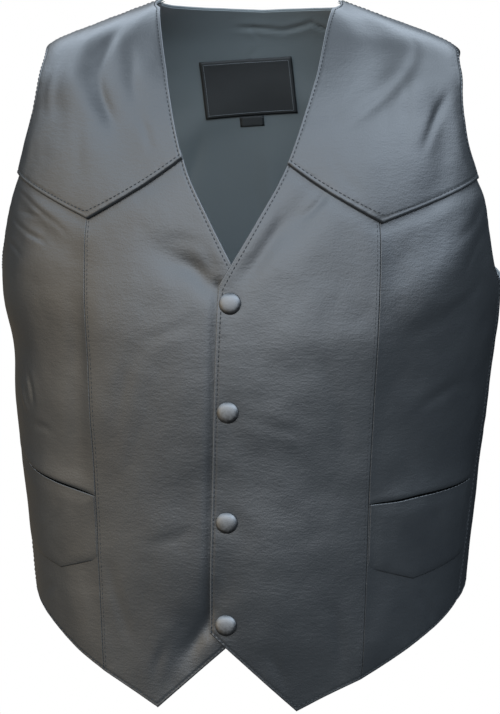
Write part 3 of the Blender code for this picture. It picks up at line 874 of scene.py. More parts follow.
def yoke_lift(place, point, panel):
    """The yoke stands out over the panels below it, and comes in to the shoulder."""
    away = np.minimum(nearest(point, panel.lines[0][0])[0], nearest(point, panel.lines[1][0])[0])
    roll = 1.0 - np.sqrt(1.0 - (1.0 - np.clip(away / YOKE_ROLL, 0.0, 1.0)) ** 2)
    lift = 1.0 - smoothstep((away - YOKE_FULL_LIFT) / (YOKE_NO_LIFT - YOKE_FULL_LIFT))
    beside = smoothstep(nearest(point, panel.lines[3][0])[0] / ARMHOLE_LIFT_REACH)
    return (LAP_LIFT * lift - YOKE_DROP * roll) * (ARMHOLE_LIFT + (1.0 - ARMHOLE_LIFT) * beside)


def snap_dimples(point):
    """The leather is pressed in round each snap."""
    reach, out = SNAP_DIMPLE
    total = np.zeros(len(point))
    for height in SNAP_HEIGHTS:
        centre = form_point(front_place(1, np.array(0.0), np.array(height)))
        total += out * np.exp(-((np.linalg.norm(point - centre, axis=1) / reach) ** 2))
    return total


def closure_lift(place, point, panel):
    """How far the lapping front stands out over the one below it."""
    x = point[:, 0] - lean(point[:, 0], point[:, 2])
    aside = 1.0 - smoothstep((x - LAPPED_TO) / (LAP_ENDS_AT - LAPPED_TO))
    below = 1.0 - smoothstep((point[:, 2] - LAP_FULL_BELOW) / (LAP_GONE_ABOVE - LAP_FULL_BELOW))
    return LAP_LIFT * aside * below + snap_dimples(point)


def side_sink(point, panel):
    """A side panel falls away beside its princess seam, and comes back further on."""
    away = nearest(point, panel.seam)[0]
    return -SEAM_SINK * (1.0 - np.exp(-away / SEAM_SINK_NEAR)) * np.exp(-((away / SEAM_SINK_FAR) ** 2))


def above_slit(place, slit):
    """How far each place is above a pocket's slit in mm, and its share of the way along the slit."""
    over = place[:, 1] - np.interp(np.abs(place[:, 0]), np.abs(slit[:, 0]), slit[:, 1])
    along = (np.abs(place[:, 0]) - abs(slit[0, 0])) / (abs(slit[-1, 0]) - abs(slit[0, 0]))
    return over, np.clip(along, 0.0, 1.0)


def side_lift(place, point, panel):
    """The side panel stands out just over the slit of its pocket, whose upper lip it is."""
    over, along = above_slit(place, panel.slit)
    lip = smoothstep(over / SLIT_STEP) * np.exp(-((np.maximum(over, 0.0) / SLIT_REACH) ** 2))
    return SLIT_LIP * lip * np.sqrt(np.sin(np.pi * along)) + side_sink(point, panel)


def pocket_lift(place, point, panel):
    """A pocket lies on its panel, and sinks into it towards its mouth and its two side edges."""
    away = np.min([nearest(point, line)[0] for line, kind in panel.lines if kind == "merged"], axis=0)
    share = POCKET_EDGE_SHARE + (1.0 - POCKET_EDGE_SHARE) * smoothstep(away / POCKET_EDGE_REACH)
    return POCKET_OUT * share + side_sink(point, panel)


def lining_lift(place, point, panel):
    """The lining lies inside the back, with its own tucks and less of the leather's unevenness."""
    tucks = crease_out(point, LINING_TUCKS)
    return np.full(len(place), LINING_OUT) + tucks - softness(point) * LINING_SOFTNESS


def label_lift(place, point, panel):
    """A tag lies inside the lining, and follows its tucks."""
    return np.full(len(place), LABEL_OUT) + crease_out(point, LINING_TUCKS)


def yoke_edges(side):
    """The yoke's edges: its neckline, its armhole, and the two halves of its lower edge."""
    start = cut_at(neckline(side), YOKE_INNER_HEIGHT[side])
    point = front_place(side, *map(np.array, YOKE_POINT))
    armhole = cut_at(front_armhole(side), YOKE_OUTER_HEIGHT)
    return start, armhole, straight([start[0], point]), straight([point, armhole[0]])


def yoke(side, word):
    """One shoulder yoke, stitched along its lower edge, its neckline and its armhole."""
    start, armhole, inner, outer = yoke_edges(side)
    shoulder = straight([(side * SHOULDER_ANGLE, 0.0), (side * SHOULDER_ANGLE, SHOULDER_TIP_HEIGHT)])
    grid = fill(
        [Run(inner, 9, start=True), Run(outer, 7, end=True)], [Run(shoulder, 16, True, True)],
        [Run(start, 9, True, True)], [Run(armhole, 9, True, True)], FINE,
    )
    edges = [
        (inner, "folded"), (outer, "folded"), (start, "rubbed"), (armhole, "turned"), (shoulder, "seam"),
    ]
    panel = Panel(
        f"{word}_yoke", f"yoke_{word}", [grid], edges, LEATHER, yoke_lift, CREASES, "black_leather"
    )
    panel.rows.append(grid[YOKE_STITCH_BAND, STITCH_BAND : -STITCH_BAND])
    panel.rows.append(grid[YOKE_STITCH_BAND:-2, STITCH_BAND])
    panel.rows.append(grid[YOKE_STITCH_BAND:-2, -1 - STITCH_BAND])
    return panel


def centre_front(side, word):
    """One centre front, from the closure to the princess seam; the wearer's right one lies under the left."""
    seam, neck = princess(side), cut_below(neckline(side), YOKE_INNER_HEIGHT[side] + YOKE_LAP)
    corner = (-EDGE_PAST_CENTRE_HEM, FRONT_CORNER_HEIGHT)
    closure = straight([corner, (-EDGE_PAST_CENTRE_TOP, NECKLINE[0][1])])
    opening = on_front(side, closure)
    notch = on_front(side, straight([corner, FRONT_TIP]))
    sweep = straight([notch[-1], seam[0]])
    top = straight([neck[-1], seam[-1]])
    grid = fill(
        [Run(notch, 5, start=True), Run(sweep, 4, end=True)], [Run(top, 9, True, True)],
        [Run(opening, 14, start=True), Run(neck, 6, end=True)], [Run(seam, 20, True, True)], FINE,
    )
    edges = [
        (notch, "turned"), (sweep, "turned"), (opening, "rubbed"), (neck, "rubbed"), (seam, "princess"),
        (top, "hidden"), (yoke_edges(side)[2], "pressed"),
    ]
    if side < 0:
        edges.append((on_front(1, closure), "overlapped"))
    lift = closure_lift if side > 0 else no_lift
    panel = Panel(
        f"{word}_front", f"front_{word}", [grid], edges, LEATHER, lift, CREASES, "black_leather"
    )
    panel.rows.append(grid[STITCH_BAND, STITCH_BAND : -STITCH_BAND])
    panel.rows.append(grid[STITCH_BAND:-2, STITCH_BAND])
    panel.seam_rows.append(grid[STITCH_BAND:-8, -1 - STITCH_BAND])
    return panel


def side_front(side, word):
    """One side front, from the princess seam to the side seam, with the slit of its pocket."""
    seam, armhole = princess(side), front_armhole(side)
    low = cut_below(armhole, YOKE_OUTER_HEIGHT + YOKE_LAP)
    hem = on_side(side, curved(SIDE_HEM))
    side_seam = straight([hem[-1], armhole[0]])
    top = straight([seam[-1], low[-1]])
    grid = fill(
        [Run(hem, 7, True, True)], [Run(top, 7, True, True)],
        [Run(seam, 20, True, True)], [Run(side_seam, 12, start=True), Run(low, 8, end=True)], SIDE_FINE,
    )
    edges = [
        (hem, "turned"), (seam, "princess"), (side_seam, "seam"), (low, "turned"), (top, "hidden"),
        (yoke_edges(side)[3], "pressed"),
    ]
    panel = Panel(
        f"{word}_side", f"side_{word}", [grid], edges, LEATHER, side_lift, CREASES, "black_leather"
    )
    panel.seam, panel.slit = panel.lines[1][0], on_side(side, curved(POCKET_TOP[side]))
    panel.rows.append(grid[STITCH_BAND, 2:-2])
    corner = len(stations([Run(side_seam, 12, start=True)], SIDE_FINE)[0])
    panel.rows.append(grid[corner:-3, -1 - STITCH_BAND])
    return panel


def pocket(side, word):
    """One pocket's patch, with a pointed lower edge, just inside its panel's seams."""
    top = on_side(side, curved(POCKET_TOP[side]))
    top = shifted(top, np.linspace(POCKET_INSET, -POCKET_INSET, len(top)) * side)
    seam = POCKET_TOP[side][0][0]
    half = np.linspace(POCKET_INSET, 0.0, DENSE + 1) * side
    to_point = shifted(on_side(side, straight([(seam, POCKET_BOTTOM_INNER), POCKET_POINT])), half)
    from_point = shifted(
        on_side(side, straight([POCKET_POINT, (SIDE_SEAM_ANGLE, POCKET_BOTTOM_OUTER)])), -half[::-1]
    )
    left, right = straight([to_point[0], top[0]]), straight([from_point[-1], top[-1]])
    grid = fill(
        [Run(to_point, 4, start=True), Run(from_point, 4, end=True)], [Run(top, 8, True, True)],
        [Run(left, 4, True, True)], [Run(right, 4, True, True)], FINE,
    )
    edges = [
        (to_point, "bevelled"), (from_point, "bevelled"), (top, "merged"), (left, "merged"), (right, "merged"),
    ]
    panel = Panel(
        f"{word}_pocket", f"pocket_{word}", [grid], edges, POCKET_LEATHER, pocket_lift, CREASES,
        "black_leather",
    )
    panel.seam = form_point(princess(side)[::DENSE // 4])
    return panel


def back_cloth(fine):
    """The back's two grids and its edges; the grids meet where the armholes turn upwards."""
    hem, armhole = curved(BACK_HEM), curved(BACK_ARMHOLE)
    rising, low = cut_at(armhole, ARMHOLE_TURN_HEIGHT), cut_below(armhole, ARMHOLE_TURN_HEIGHT)
    side_seam = straight([hem[0], armhole[0]])
    shoulder = straight([(SHOULDER_ANGLE, SHOULDER_TIP_HEIGHT), (SHOULDER_ANGLE, 0.0)])
    neck = curved(BACK_NECK)
    level = straight([rising[0], (360.0 - rising[0, 0], ARMHOLE_TURN_HEIGHT)])
    whole_hem, whole_neck = joined(hem, other_side(hem)), joined(neck, other_side(neck))
    aside, middle = BACK_SIDE_STEPS, BACK_MIDDLE_STEPS
    steps = np.array([0, aside, aside + middle, aside + middle + aside])
    parts = lengths(whole_hem)[-1] * (steps / steps[-1])
    hems = [at_lengths(whole_hem, np.linspace(a, b, DENSE + 1)) for a, b in zip(parts, parts[1:])]
    lower = fill(
        [Run(hems[0], aside, start=True), Run(hems[1], middle, True, True), Run(hems[2], aside, end=True)],
        [Run(low, aside, start=True), Run(level, middle, True, True), Run(other_side(low), aside, end=True)],
        [Run(side_seam, 11, True, True)], [Run(other_side(side_seam)[::-1], 11, True, True)], fine,
    )
    upper = fill(
        [Run(level, middle, True, True)],
        [Run(shoulder, 6, start=True), Run(whole_neck, 14), Run(other_side(shoulder), 6, end=True)],
        [Run(rising, 10, True, True)], [Run(other_side(rising)[::-1], 10, True, True)], fine,
    )
    edges = [(run, "turned") for run in (whole_hem, whole_neck, armhole, other_side(armhole))]
    for run in (side_seam, shoulder):
        edges += [(run, "stitched seam"), (other_side(run), "stitched seam")]
    return [lower, upper], edges


def back():
    """The back, in one piece, stitched along its hem, neck, armholes and side seams."""
    grids, edges = back_cloth(FINE)
    panel = Panel("whole_back", "back", grids, edges, LEATHER, no_lift, CREASES, "black_leather")
    lower, upper = grids
    panel.rows.append(lower[STITCH_BAND, STITCH_BAND : -STITCH_BAND])
    panel.rows.append(upper[-1 - STITCH_BAND, STITCH_BAND : -STITCH_BAND])
    for edge in (STITCH_BAND, -1 - STITCH_BAND):
        panel.rows.append(lower[STITCH_BAND:-3, edge])
        panel.rows.append(upper[:-3, edge])
    return panel


def lining():
    """The back's lining, cut as the back is."""
    grids, edges = back_cloth(LINING_FINE)
    edges = [(run, "hidden") for run, _ in edges]
    return Panel("satin_lining", "back_lining", grids, edges, LINING, lining_lift, (), "black_lining")


def tag(name, node, centre, size, fine):
    """A flat woven tag on the inside of the lining, turned by the label's tilt."""
    tilt = np.radians(LABEL_TILT)

    def run(start, end):
        s, t = (np.linspace(a, b, DENSE + 1) for a, b in zip(start, end))
        x = centre[0] + s * np.cos(tilt) - t * np.sin(tilt)
        return place_at(x, centre[1] + s * np.sin(tilt) + t * np.cos(tilt), behind=True)

    x, y = size[0] / 2, size[1] / 2
    across, up = (max(2, round(length / TAG_STEP)) for length in size)
    bottom, top = run((-x, -y), (x, -y)), run((-x, y), (x, y))
    left, right = run((-x, -y), (-x, y)), run((x, -y), (x, y))
    grid = fill([Run(bottom, across)], [Run(top, across)], [Run(left, up)], [Run(right, up)], fine)
    edges = [(edge, "hidden") for edge in (bottom, top, left, right)]
    panel = Panel(name, node, [grid], edges, LABEL_CLOTH, label_lift, (), "woven_label")
    x, y = x - LABEL_BORDER, y - LABEL_BORDER
    if size == LABEL_SIZE:
        corners = ((-x, -y), (x, -y), (x, y), (-x, y), (-x, -y))
        panel.frame = joined(*(run(start, end) for start, end in zip(corners, corners[1:])))
    return panel


# Materials

def linear(hexed):
    """The linear colour of an sRGB hex."""
    parts = [int(hexed[i : i + 2], 16) / 255 for i in (1, 3, 5)]
    return (*(p / 12.92 if p <= 0.04045 else ((p + 0.055) / 1.055) ** 2.4 for p in parts), 1.0)


def add(tree, kind, inputs=None, **settings):
    """One node with its settings; an input takes a value, or another node's output."""
    node = tree.nodes.new(kind)
    for key, value in settings.items():
        setattr(node, key, value)
    for key, value in (inputs or {}).items():
        if isinstance(value, bpy.types.NodeSocket):
            tree.links.new(value, node.inputs[key])
        else:
            node.inputs[key].default_value = value
    return node


def blank(name):
    """A material with its Principled shader."""
    material = bpy.data.materials.new(name)
    material.use_nodes = True
    return material, material.node_tree, material.node_tree.nodes["Principled BSDF"]


def per_metre(size):
    """How often a pattern of this size in millimetres repeats in a metre."""
    return 1.0 / (size * MM)


def leather_material():
    """Chrome-tanned cowhide, dyed black and finished semi-gloss: a soft broad shine that a fine pebbled grain
    breaks up, slow clouds where the finish lies thinner, paler edges that are both rubbed-off finish and a
    painted highlight where the rolled edges catch the light, and a painted shade line at each pocket's mouth.
    """
    material, tree, shader = blank("black_cowhide")
    spot = add(tree, "ShaderNodeTexCoord").outputs["Object"]
    cloud = add(tree, "ShaderNodeTexNoise", {
        "Vector": spot, "Scale": per_metre(LEATHER_CLOUD), "Detail": 4.0, "Roughness": 0.6,
    }).outputs["Fac"]
    dyed = add(tree, "ShaderNodeMix", {
        "Factor": cloud, "A": linear("#1e2022"), "B": linear("#262829"),
    }, data_type="RGBA").outputs["Result"]
    # Edges worn pale, and painted paler as a highlight where the rolled edges catch the light
    edge = add(tree, "ShaderNodeAttribute", attribute_name="wear_and_highlight_mm").outputs["Fac"]
    wear_and_highlight_share = add(tree, "ShaderNodeMapRange", {
        "Value": edge, "From Min": WEAR_AND_HIGHLIGHT_FULL, "From Max": WEAR_AND_HIGHLIGHT_NONE, "To Min": 1.0, "To Max": 0.0,
    }, interpolation_type="SMOOTHSTEP").outputs["Result"]
    rubbed = add(tree, "ShaderNodeMix", {"Factor": wear_and_highlight_share, "A": dyed, "B": linear("#3a3c3e")}, data_type="RGBA")

    # Painted shade: the mouth of a pocket is painted as a near-black line without shine, standing in for the
    # shade inside it
    slit = add(tree, "ShaderNodeAttribute", attribute_name="slit_shade_mm").outputs["Fac"]
    off = add(tree, "ShaderNodeMath", {0: slit, 1: SLIT_SHADE_ZERO + SLIT_SHADE_MIDDLE}, operation="SUBTRACT")
    away = add(tree, "ShaderNodeMath", {0: off.outputs["Value"]}, operation="ABSOLUTE").outputs["Value"]
    outside_slit_shade = add(tree, "ShaderNodeMapRange", {
        "Value": away, "From Min": SLIT_SHADE_HALF - SLIT_SHADE_BLUR, "From Max": SLIT_SHADE_HALF + SLIT_SHADE_BLUR,
    }, interpolation_type="SMOOTHSTEP").outputs["Result"]
    colour = add(tree, "ShaderNodeMix", {
        "Factor": outside_slit_shade, "A": linear("#040505"), "B": rubbed.outputs["Result"],
    }, data_type="RGBA")
    tree.links.new(colour.outputs["Result"], shader.inputs["Base Color"])
    shine = add(tree, "ShaderNodeMath", {0: outside_slit_shade, 1: LEATHER_SHINE}, operation="MULTIPLY")
    tree.links.new(shine.outputs["Value"], shader.inputs["Specular IOR Level"])
    gloss = add(tree, "ShaderNodeMapRange", {
        "Value": cloud, "From Min": 0.3, "From Max": 0.7, "To Min": 0.29, "To Max": 0.36,
    })
    tree.links.new(gloss.outputs["Result"], shader.inputs["Roughness"])

    # The grain is drawn a little coarser than cowhide's, so that it shows; longer lines run round the body
    grain = add(tree, "ShaderNodeTexVoronoi", {"Vector": spot, "Scale": per_metre(GRAIN)}, feature="SMOOTH_F1")
    hide = add(tree, "ShaderNodeTexNoise", {
        "Vector": spot, "Scale": per_metre(HIDE_PATCH), "Detail": 5.0, "Roughness": 0.6,
    })
    both = add(tree, "ShaderNodeMath", {0: grain.outputs["Distance"], 1: hide.outputs["Fac"]}, operation="ADD")
    fine = add(tree, "ShaderNodeBump", {
        "Strength": 0.2, "Distance": 0.4 * MM, "Height": both.outputs["Value"],
    })
    stretch = (per_metre(HIDE_LINE_LENGTH), per_metre(HIDE_LINE_LENGTH), per_metre(HIDE_LINE_WIDTH))
    long = add(tree, "ShaderNodeVectorMath", {0: spot, 1: stretch}, operation="MULTIPLY")
    lines = add(tree, "ShaderNodeTexNoise", {"Vector": long.outputs["Vector"], "Scale": 1.0, "Detail": 4.0})
    bump = add(tree, "ShaderNodeBump", {
        "Strength": 0.12, "Distance": 1.2 * MM,
        "Height": lines.outputs["Fac"], "Normal": fine.outputs["Normal"],
    })
    tree.links.new(bump.outputs["Normal"], shader.inputs["Normal"])
    return material


def lining_material():
    """Woven polyester satin in faded black: a dull even cloth with a faint sheen and a diagonal weave, drawn
    about three times as coarse as the real one, so that it shows.
    """
    material, tree, shader = blank("black_satin")
    spot = add(tree, "ShaderNodeTexCoord").outputs["Object"]
    cloud = add(tree, "ShaderNodeTexNoise", {"Vector": spot, "Scale": per_metre(LINING_CLOUD), "Detail": 3.0})
    tone = add(tree, "ShaderNodeMix", {
        "Factor": cloud.outputs["Fac"], "A": linear("#4a5153"), "B": linear("#565e60"),
    }, data_type="RGBA")
    tree.links.new(tone.outputs["Result"], shader.inputs["Base Color"])
    shader.inputs["Roughness"].default_value = 0.62
    shader.inputs["Sheen Weight"].default_value = 0.25
    shader.inputs["Sheen Roughness"].default_value = 0.4
    weave = add(tree, "ShaderNodeTexWave", {
        "Vector": spot, "Scale": DIAGONAL_BAND * per_metre(LINING_THREADS), "Distortion": 1.5, "Detail": 1.0,
    }, bands_direction="DIAGONAL")
    bump = add(tree, "ShaderNodeBump", {
        "Strength": 0.12, "Distance": 0.2 * MM, "Height": weave.outputs["Fac"],
    })
    tree.links.new(bump.outputs["Normal"], shader.inputs["Normal"])
    return material


def label_material():
    """Damask-woven polyester tape: matt black, with level ribs drawn coarse enough to show."""
    material, tree, shader = blank("woven_black")
    spot = add(tree, "ShaderNodeTexCoord").outputs["Object"]
    weave = add(tree, "ShaderNodeTexWave", {
        "Vector": spot, "Scale": LEVEL_BAND * per_metre(LABEL_THREADS), "Distortion": 0.6,
    }, bands_direction="Z").outputs["Fac"]
    tone = add(tree, "ShaderNodeMix", {
        "Factor": weave, "A": linear("#101213"), "B": linear("#212526"),
    }, data_type="RGBA")
    tree.links.new(tone.outputs["Result"], shader.inputs["Base Color"])
    shader.inputs["Roughness"].default_value = 0.7
    bump = add(tree, "ShaderNodeBump", {"Strength": 0.3, "Distance": 0.3 * MM, "Height": weave})
    tree.links.new(bump.outputs["Normal"], shader.inputs["Normal"])
    return material


def thread_material(name, colour):
    """Bonded polyester sewing thread: dull, so that a row of stitches reads by its shadow."""
    material, tree, shader = blank(name)
    shader.inputs["Base Color"].default_value = linear(colour)
    shader.inputs["Roughness"].default_value = 0.75
    shader.inputs["Specular IOR Level"].default_value = 0.25
    return material


def pewter_material():
    """Brass pressed into caps, plated with antique nickel and tumbled: grey metal with a soft, uneven shine."""
    material, tree, shader = blank("antique_nickel")
    spot = add(tree, "ShaderNodeTexCoord").outputs["Object"]
    cloud = add(tree, "ShaderNodeTexNoise", {
        "Vector": spot, "Scale": per_metre(TUMBLED), "Detail": 5.0, "Roughness": 0.65,
    }).outputs["Fac"]
    tone = add(tree, "ShaderNodeMix", {
        "Factor": cloud, "A": linear("#4f5051"), "B": linear("#6d6e6f"),
    }, data_type="RGBA")
    tree.links.new(tone.outputs["Result"], shader.inputs["Base Color"])
    shader.inputs["Metallic"].default_value = 1.0
    rough = add(tree, "ShaderNodeMapRange", {
        "Value": cloud, "From Min": 0.3, "From Max": 0.7, "To Min": 0.36, "To Max": 0.54,
    })
    tree.links.new(rough.outputs["Result"], shader.inputs["Roughness"])
    bump = add(tree, "ShaderNodeBump", {"Strength": 0.25, "Distance": 0.3 * MM, "Height": cloud})
    tree.links.new(bump.outputs["Normal"], shader.inputs["Normal"])
    return material


# Stitches, made by one node tree along rows of points

def stitch_tree():
    """A tree that lays one thread stitch at each pitch along a row, its back to the cloth."""
    tree = bpy.data.node_groups.new("stitch_row", "GeometryNodeTree")
    tree.interface.new_socket("Row", in_out="INPUT", socket_type="NodeSocketGeometry")
    sizes = {"Pitch": STITCH_PITCH, "Length": STITCH_LENGTH, "Thread Radius": THREAD_RADIUS}
    for name, value in sizes.items():
        socket = tree.interface.new_socket(name, in_out="INPUT", socket_type="NodeSocketFloat")
        socket.default_value = value * MM
    tree.interface.new_socket("Thread", in_out="INPUT", socket_type="NodeSocketMaterial")
    tree.interface.new_socket("Stitches", in_out="OUTPUT", socket_type="NodeSocketGeometry")
    given = add(tree, "NodeGroupInput").outputs
    curve = add(tree, "GeometryNodeMeshToCurve", {"Mesh": given["Row"]})
    points = add(tree, "GeometryNodeResampleCurve", {
        "Curve": curve.outputs["Curve"], "Length": given["Pitch"],
    }, mode="LENGTH")
    out = add(tree, "GeometryNodeInputNamedAttribute", {"Name": "out"}, data_type="FLOAT_VECTOR")
    tangent = add(tree, "GeometryNodeInputTangent")
    turn = add(tree, "FunctionNodeAxesToRotation",
               {"Primary Axis": out.outputs["Attribute"], "Secondary Axis": tangent.outputs["Tangent"]},
               primary_axis="Z", secondary_axis="X")
    half = add(tree, "ShaderNodeMath", {0: given["Length"], 1: 0.5}, operation="MULTIPLY")
    size = add(tree, "ShaderNodeCombineXYZ", {"X": half.outputs["Value"], "Y": given["Thread Radius"],
                                              "Z": given["Thread Radius"]})
    bead = add(tree, "GeometryNodeMeshUVSphere", {"Segments": 7, "Rings": 6, "Radius": 1.0})
    laid = add(tree, "GeometryNodeInstanceOnPoints",
               {"Points": points.outputs["Curve"], "Instance": bead.outputs["Mesh"],
                "Rotation": turn.outputs["Rotation"], "Scale": size.outputs["Vector"]})
    real = add(tree, "GeometryNodeRealizeInstances", {"Geometry": laid.outputs["Instances"]})
    smooth = add(tree, "GeometryNodeSetShadeSmooth", {"Geometry": real.outputs["Geometry"]})
    done = add(tree, "GeometryNodeSetMaterial", {
        "Geometry": smooth.outputs["Geometry"], "Material": given["Thread"],
    })
    add(tree, "NodeGroupOutput", {"Stitches": done.outputs["Geometry"]})
    return tree


def stitched(name, rows, tree, sizes):
    """A piece of stitches along rows of (points, outward directions), as a plain mesh."""
    points, ends, out = [], [], []
    for row, direction in rows:
        start = len(points)
        points += (row * MM).tolist()
        out += direction.tolist()
        ends += [(i, i + 1) for i in range(start, len(points) - 1)]
    mesh = bpy.data.meshes.new(name)
    mesh.from_pydata(points, ends, [])
    outward = mesh.attributes.new("out", "FLOAT_VECTOR", "POINT")
    outward.data.foreach_set("vector", np.ravel(out).astype(np.float32))
    piece = shown(name, mesh)
    modifier = piece.modifiers.new("stitches", "NODES")
    modifier.node_group = tree
    for socket in tree.interface.items_tree:
        if socket.name in sizes:
            modifier[socket.identifier] = sizes[socket.name]
    bpy.context.view_layer.update()
    done = bpy.data.meshes.new_from_object(piece.evaluated_get(bpy.context.evaluated_depsgraph_get()))
    piece.modifiers.clear()
    piece.data = done
    bpy.data.meshes.remove(mesh)
    return piece


def evened(row):
    """A row of places in even, short steps."""
    step = np.linalg.norm(np.diff(form_point(row), axis=0), axis=1)
    reached = np.concatenate([[0.0], np.cumsum(step)])
    wanted = np.linspace(0.0, reached[-1], max(2, int(reached[-1] / ROW_STEP)))
    turned = np.unwrap(row[:, 0], period=360.0)
    return np.stack([np.interp(wanted, reached, turned), np.interp(wanted, reached, row[:, 1])], axis=-1)


def stitch_rows(panel, rows, inside=False):
    """Each row's points on the finished cloth, with the outward directions there."""
    found = []
    for row in rows:
        places = evened(row)
        outer, inner = panel.shape(places)
        normal = form_normal(places)
        found.append((inner, -normal) if inside else (outer + normal * THREAD_STANDS, normal))
    return found


def snap_cap(number, height, material):
    """One cap turned from its profile, sitting square on the lapping front."""
    name = f"cap_{number}"
    shape = bmesh.new()
    turns = np.linspace(0.0, 2 * np.pi, SNAP_SEGMENTS, endpoint=False)
    rings = []
    for radius, rise in SNAP_PROFILE:
        points = [(radius * np.cos(a) * MM, radius * np.sin(a) * MM, rise * MM) for a in turns]
        rings.append([shape.verts.new(point) for point in points])
    shape.faces.new(rings[0][::-1])
    for low, high in zip(rings, rings[1:]):
        for i in range(SNAP_SEGMENTS):
            k = (i + 1) % SNAP_SEGMENTS
            shape.faces.new((low[i], low[k], high[k], high[i]))
    crown = shape.verts.new((0.0, 0.0, SNAP_CROWN * MM))
    for i in range(SNAP_SEGMENTS):
        shape.faces.new((rings[-1][i], rings[-1][(i + 1) % SNAP_SEGMENTS], crown))
    place = front_place(1, np.array([0.0]), np.array([height]))
    base = form_point(place)[0] + form_normal(place)[0] * (fold_out(place)[0] + SNAP_BASE)
    turned = Vector(form_normal(place)[0]).to_track_quat("Z", "Y").to_matrix().to_4x4()
    shape.transform(Matrix.Translation(Vector(base * MM)) @ turned)
    mesh = bpy.data.meshes.new(name)
    shape.to_mesh(mesh)
    shape.free()
    mesh.materials.append(material)
    mesh.shade_smooth()
    mesh.set_sharp_from_angle(angle=math.radians(SNAP_SHARP))
    return shown(name, mesh)


# The studio

def ramp(tree, share, stops):
    """The colour at this share of a ramp."""
    node = add(tree, "ShaderNodeValToRGB", {"Fac": share})
    while len(node.color_ramp.elements) < len(stops):
        node.color_ramp.elements.new(0.5)
    for stop, (position, colour) in zip(node.color_ramp.elements, stops):
        stop.position, stop.color = position, colour
    return node.outputs["Color"]


def dome_colour(tree):
    """The dome's colour in each direction, as a share of its peak."""
    facing = add(tree, "ShaderNodeTexCoord").outputs["Generated"]
    way = add(tree, "ShaderNodeSeparateXYZ", {0: facing}).outputs
    rise = add(tree, "ShaderNodeMath", {0: way["Z"]}, operation="ARCSINE").outputs["Value"]
    share = add(tree, "ShaderNodeMapRange", {
        "Value": rise, "From Min": -math.pi / 2, "From Max": math.pi / 2,
    }).outputs["Result"]
    ahead = add(tree, "ShaderNodeMath", {0: way["Y"], 1: -1.0}, operation="MULTIPLY").outputs["Value"]
    turn = add(tree, "ShaderNodeMath", {0: way["X"], 1: ahead}, operation="ARCTAN2").outputs["Value"]
    found = None
    for column, middle in enumerate(DOME_TURNS, start=1):
        stops = []
        for row in DOME:
            high = smoothstep((row[0] - DOME_TINT_FROM) / DOME_TINT_SPAN)
            pairs = zip(linear(DOME_LOW_TINT[column - 1]), linear(DOME_HIGH_TINT))
            tint = [low + (top - low) * high for low, top in pairs]
            stops.append(((row[0] + 90) / 180, (*(row[column] / DOME_PEAK * t for t in tint[:3]), 1.0)))
        colour = ramp(tree, share, stops)
        if found is None:
            found, before = colour, middle
            continue
        past = add(tree, "ShaderNodeMapRange", {
            "Value": turn, "From Min": math.radians(before), "From Max": math.radians(middle),
        }, interpolation_type="SMOOTHSTEP").outputs["Result"]
        mix = add(tree, "ShaderNodeMix", {"Factor": past, "A": found, "B": colour}, data_type="RGBA")
        found = mix.outputs["Result"]
        before = middle
    return found


def studio():
    """A white studio: the camera sees white, and the dome alone lights the vest."""
    scene = bpy.context.scene
    world = bpy.data.worlds.new("studio")
    world.use_nodes = True
    tree = world.node_tree
    tree.nodes.clear()
    seen = add(tree, "ShaderNodeLightPath").outputs["Is Camera Ray"]
    glow = add(tree, "ShaderNodeBackground", {"Color": dome_colour(tree), "Strength": DOME_PEAK})
    white = add(tree, "ShaderNodeBackground", {"Color": (1.0, 1.0, 1.0, 1.0), "Strength": 1.0})
    mix = add(tree, "ShaderNodeMixShader", {
        0: seen, 1: glow.outputs["Background"], 2: white.outputs["Background"],
    })
    add(tree, "ShaderNodeOutputWorld", {"Surface": mix.outputs["Shader"]})
    scene.world = world
    floor_mesh = bpy.data.meshes.new("floor")
    half, level = FLOOR_HALF * MM, FLOOR_HEIGHT * MM
    corners = ((-half, -half, level), (half, -half, level), (half, half, level), (-half, half, level))
    floor_mesh.from_pydata(corners, [], [(0, 1, 2, 3)])
    # Matt painted board, pale enough to pass into the white behind it
    pale, tree, shader = blank("pale_floor")
    shader.inputs["Base Color"].default_value = linear("#e4e4e2")
    shader.inputs["Roughness"].default_value = 0.9
    floor_mesh.materials.append(pale)
    floor = shown("floor", floor_mesh)
    floor.visible_diffuse = floor.visible_glossy = False
    camera = bpy.data.cameras.new("camera")
    camera.lens, camera.sensor_fit = CAMERA_LENS, "VERTICAL"
    camera.sensor_width = camera.sensor_height = CAMERA_SENSOR
    turn, rise = math.radians(CAMERA_TURN), math.radians(CAMERA_RISE)
    away = Vector((math.sin(turn) * math.cos(rise), -math.cos(turn) * math.cos(rise), math.sin(rise)))
    scene.camera = shown("camera", camera)
    scene.camera.location = Vector(CAMERA_TARGET) * MM + away * CAMERA_DISTANCE * MM
    scene.camera.rotation_euler = (-away).to_track_quat("-Z", "Y").to_euler()
    scene.view_settings.view_transform = "Standard"


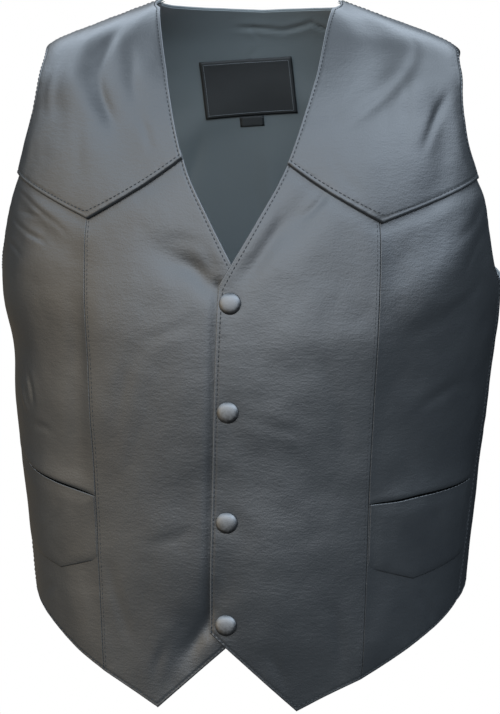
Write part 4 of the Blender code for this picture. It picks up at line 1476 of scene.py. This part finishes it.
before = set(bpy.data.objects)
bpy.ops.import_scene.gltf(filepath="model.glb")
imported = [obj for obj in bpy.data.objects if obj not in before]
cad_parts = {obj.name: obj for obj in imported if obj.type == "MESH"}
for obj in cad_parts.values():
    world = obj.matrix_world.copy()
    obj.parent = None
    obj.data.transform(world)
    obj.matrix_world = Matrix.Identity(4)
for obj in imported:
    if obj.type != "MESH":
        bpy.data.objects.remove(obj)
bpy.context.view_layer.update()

leather, satin, woven = leather_material(), lining_material(), label_material()
black_thread = thread_material("black_thread", "#202224")
grey_thread = thread_material("grey_thread", "#5c6063")
pewter = pewter_material()
looks = {"black_leather": (leather, satin), "black_lining": (satin,), "woven_label": (woven,)}
tree = stitch_tree()

panels = []
for side, word in ((1, "left"), (-1, "right")):
    panels += [yoke(side, word), centre_front(side, word), side_front(side, word), pocket(side, word)]
panels += [back(), lining()]
tab_drop = (LABEL_SIZE[1] + TAB_SIZE[1]) / 2 + TAB_GAP
tilt = math.radians(LABEL_TILT)
tab_centre = (
    LABEL_CENTRE[0] + TAB_SHIFT + tab_drop * math.sin(tilt),
    LABEL_CENTRE[1] + TAB_SHIFT * math.sin(tilt) - tab_drop * math.cos(tilt),
)
label = tag("woven_label_piece", "label", LABEL_CENTRE, LABEL_SIZE, LABEL_FINE)
panels += [label, tag("woven_tab", "size_tab", tab_centre, TAB_SIZE, TAB_FINE)]

for panel in panels:
    piece = panel.build(looks[panel.slot])
    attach(piece, "root")
    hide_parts(panel.node)
    extra = []
    if panel.rows:
        sizes = {"Thread": black_thread}
        rows = stitch_rows(panel, panel.rows)
        extra.append(stitched(f"{panel.name}_stitches", rows, tree, sizes))
    if panel.seam_rows:
        sizes = {"Thread": black_thread, "Thread Radius": SEAM_THREAD_RADIUS * MM}
        rows = stitch_rows(panel, panel.seam_rows)
        extra.append(stitched(f"{panel.name}_seam_stitches", rows, tree, sizes))
    if panel is label:
        sizes = {"Pitch": BORDER_PITCH * MM, "Length": BORDER_LENGTH * MM, "Thread Radius": BORDER_RADIUS * MM}
        sizes["Thread"] = grey_thread
        rows = stitch_rows(panel, [panel.frame], inside=True)
        extra.append(stitched("label_border", rows, tree, sizes))
    for threads in extra:
        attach(threads, "root")
    width, length = panel.flat()

for number, height in enumerate(SNAP_HEIGHTS, start=1):
    cap = snap_cap(number, height, pewter)
    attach(cap, "root")
    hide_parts(f"snap_{number}")

studio()
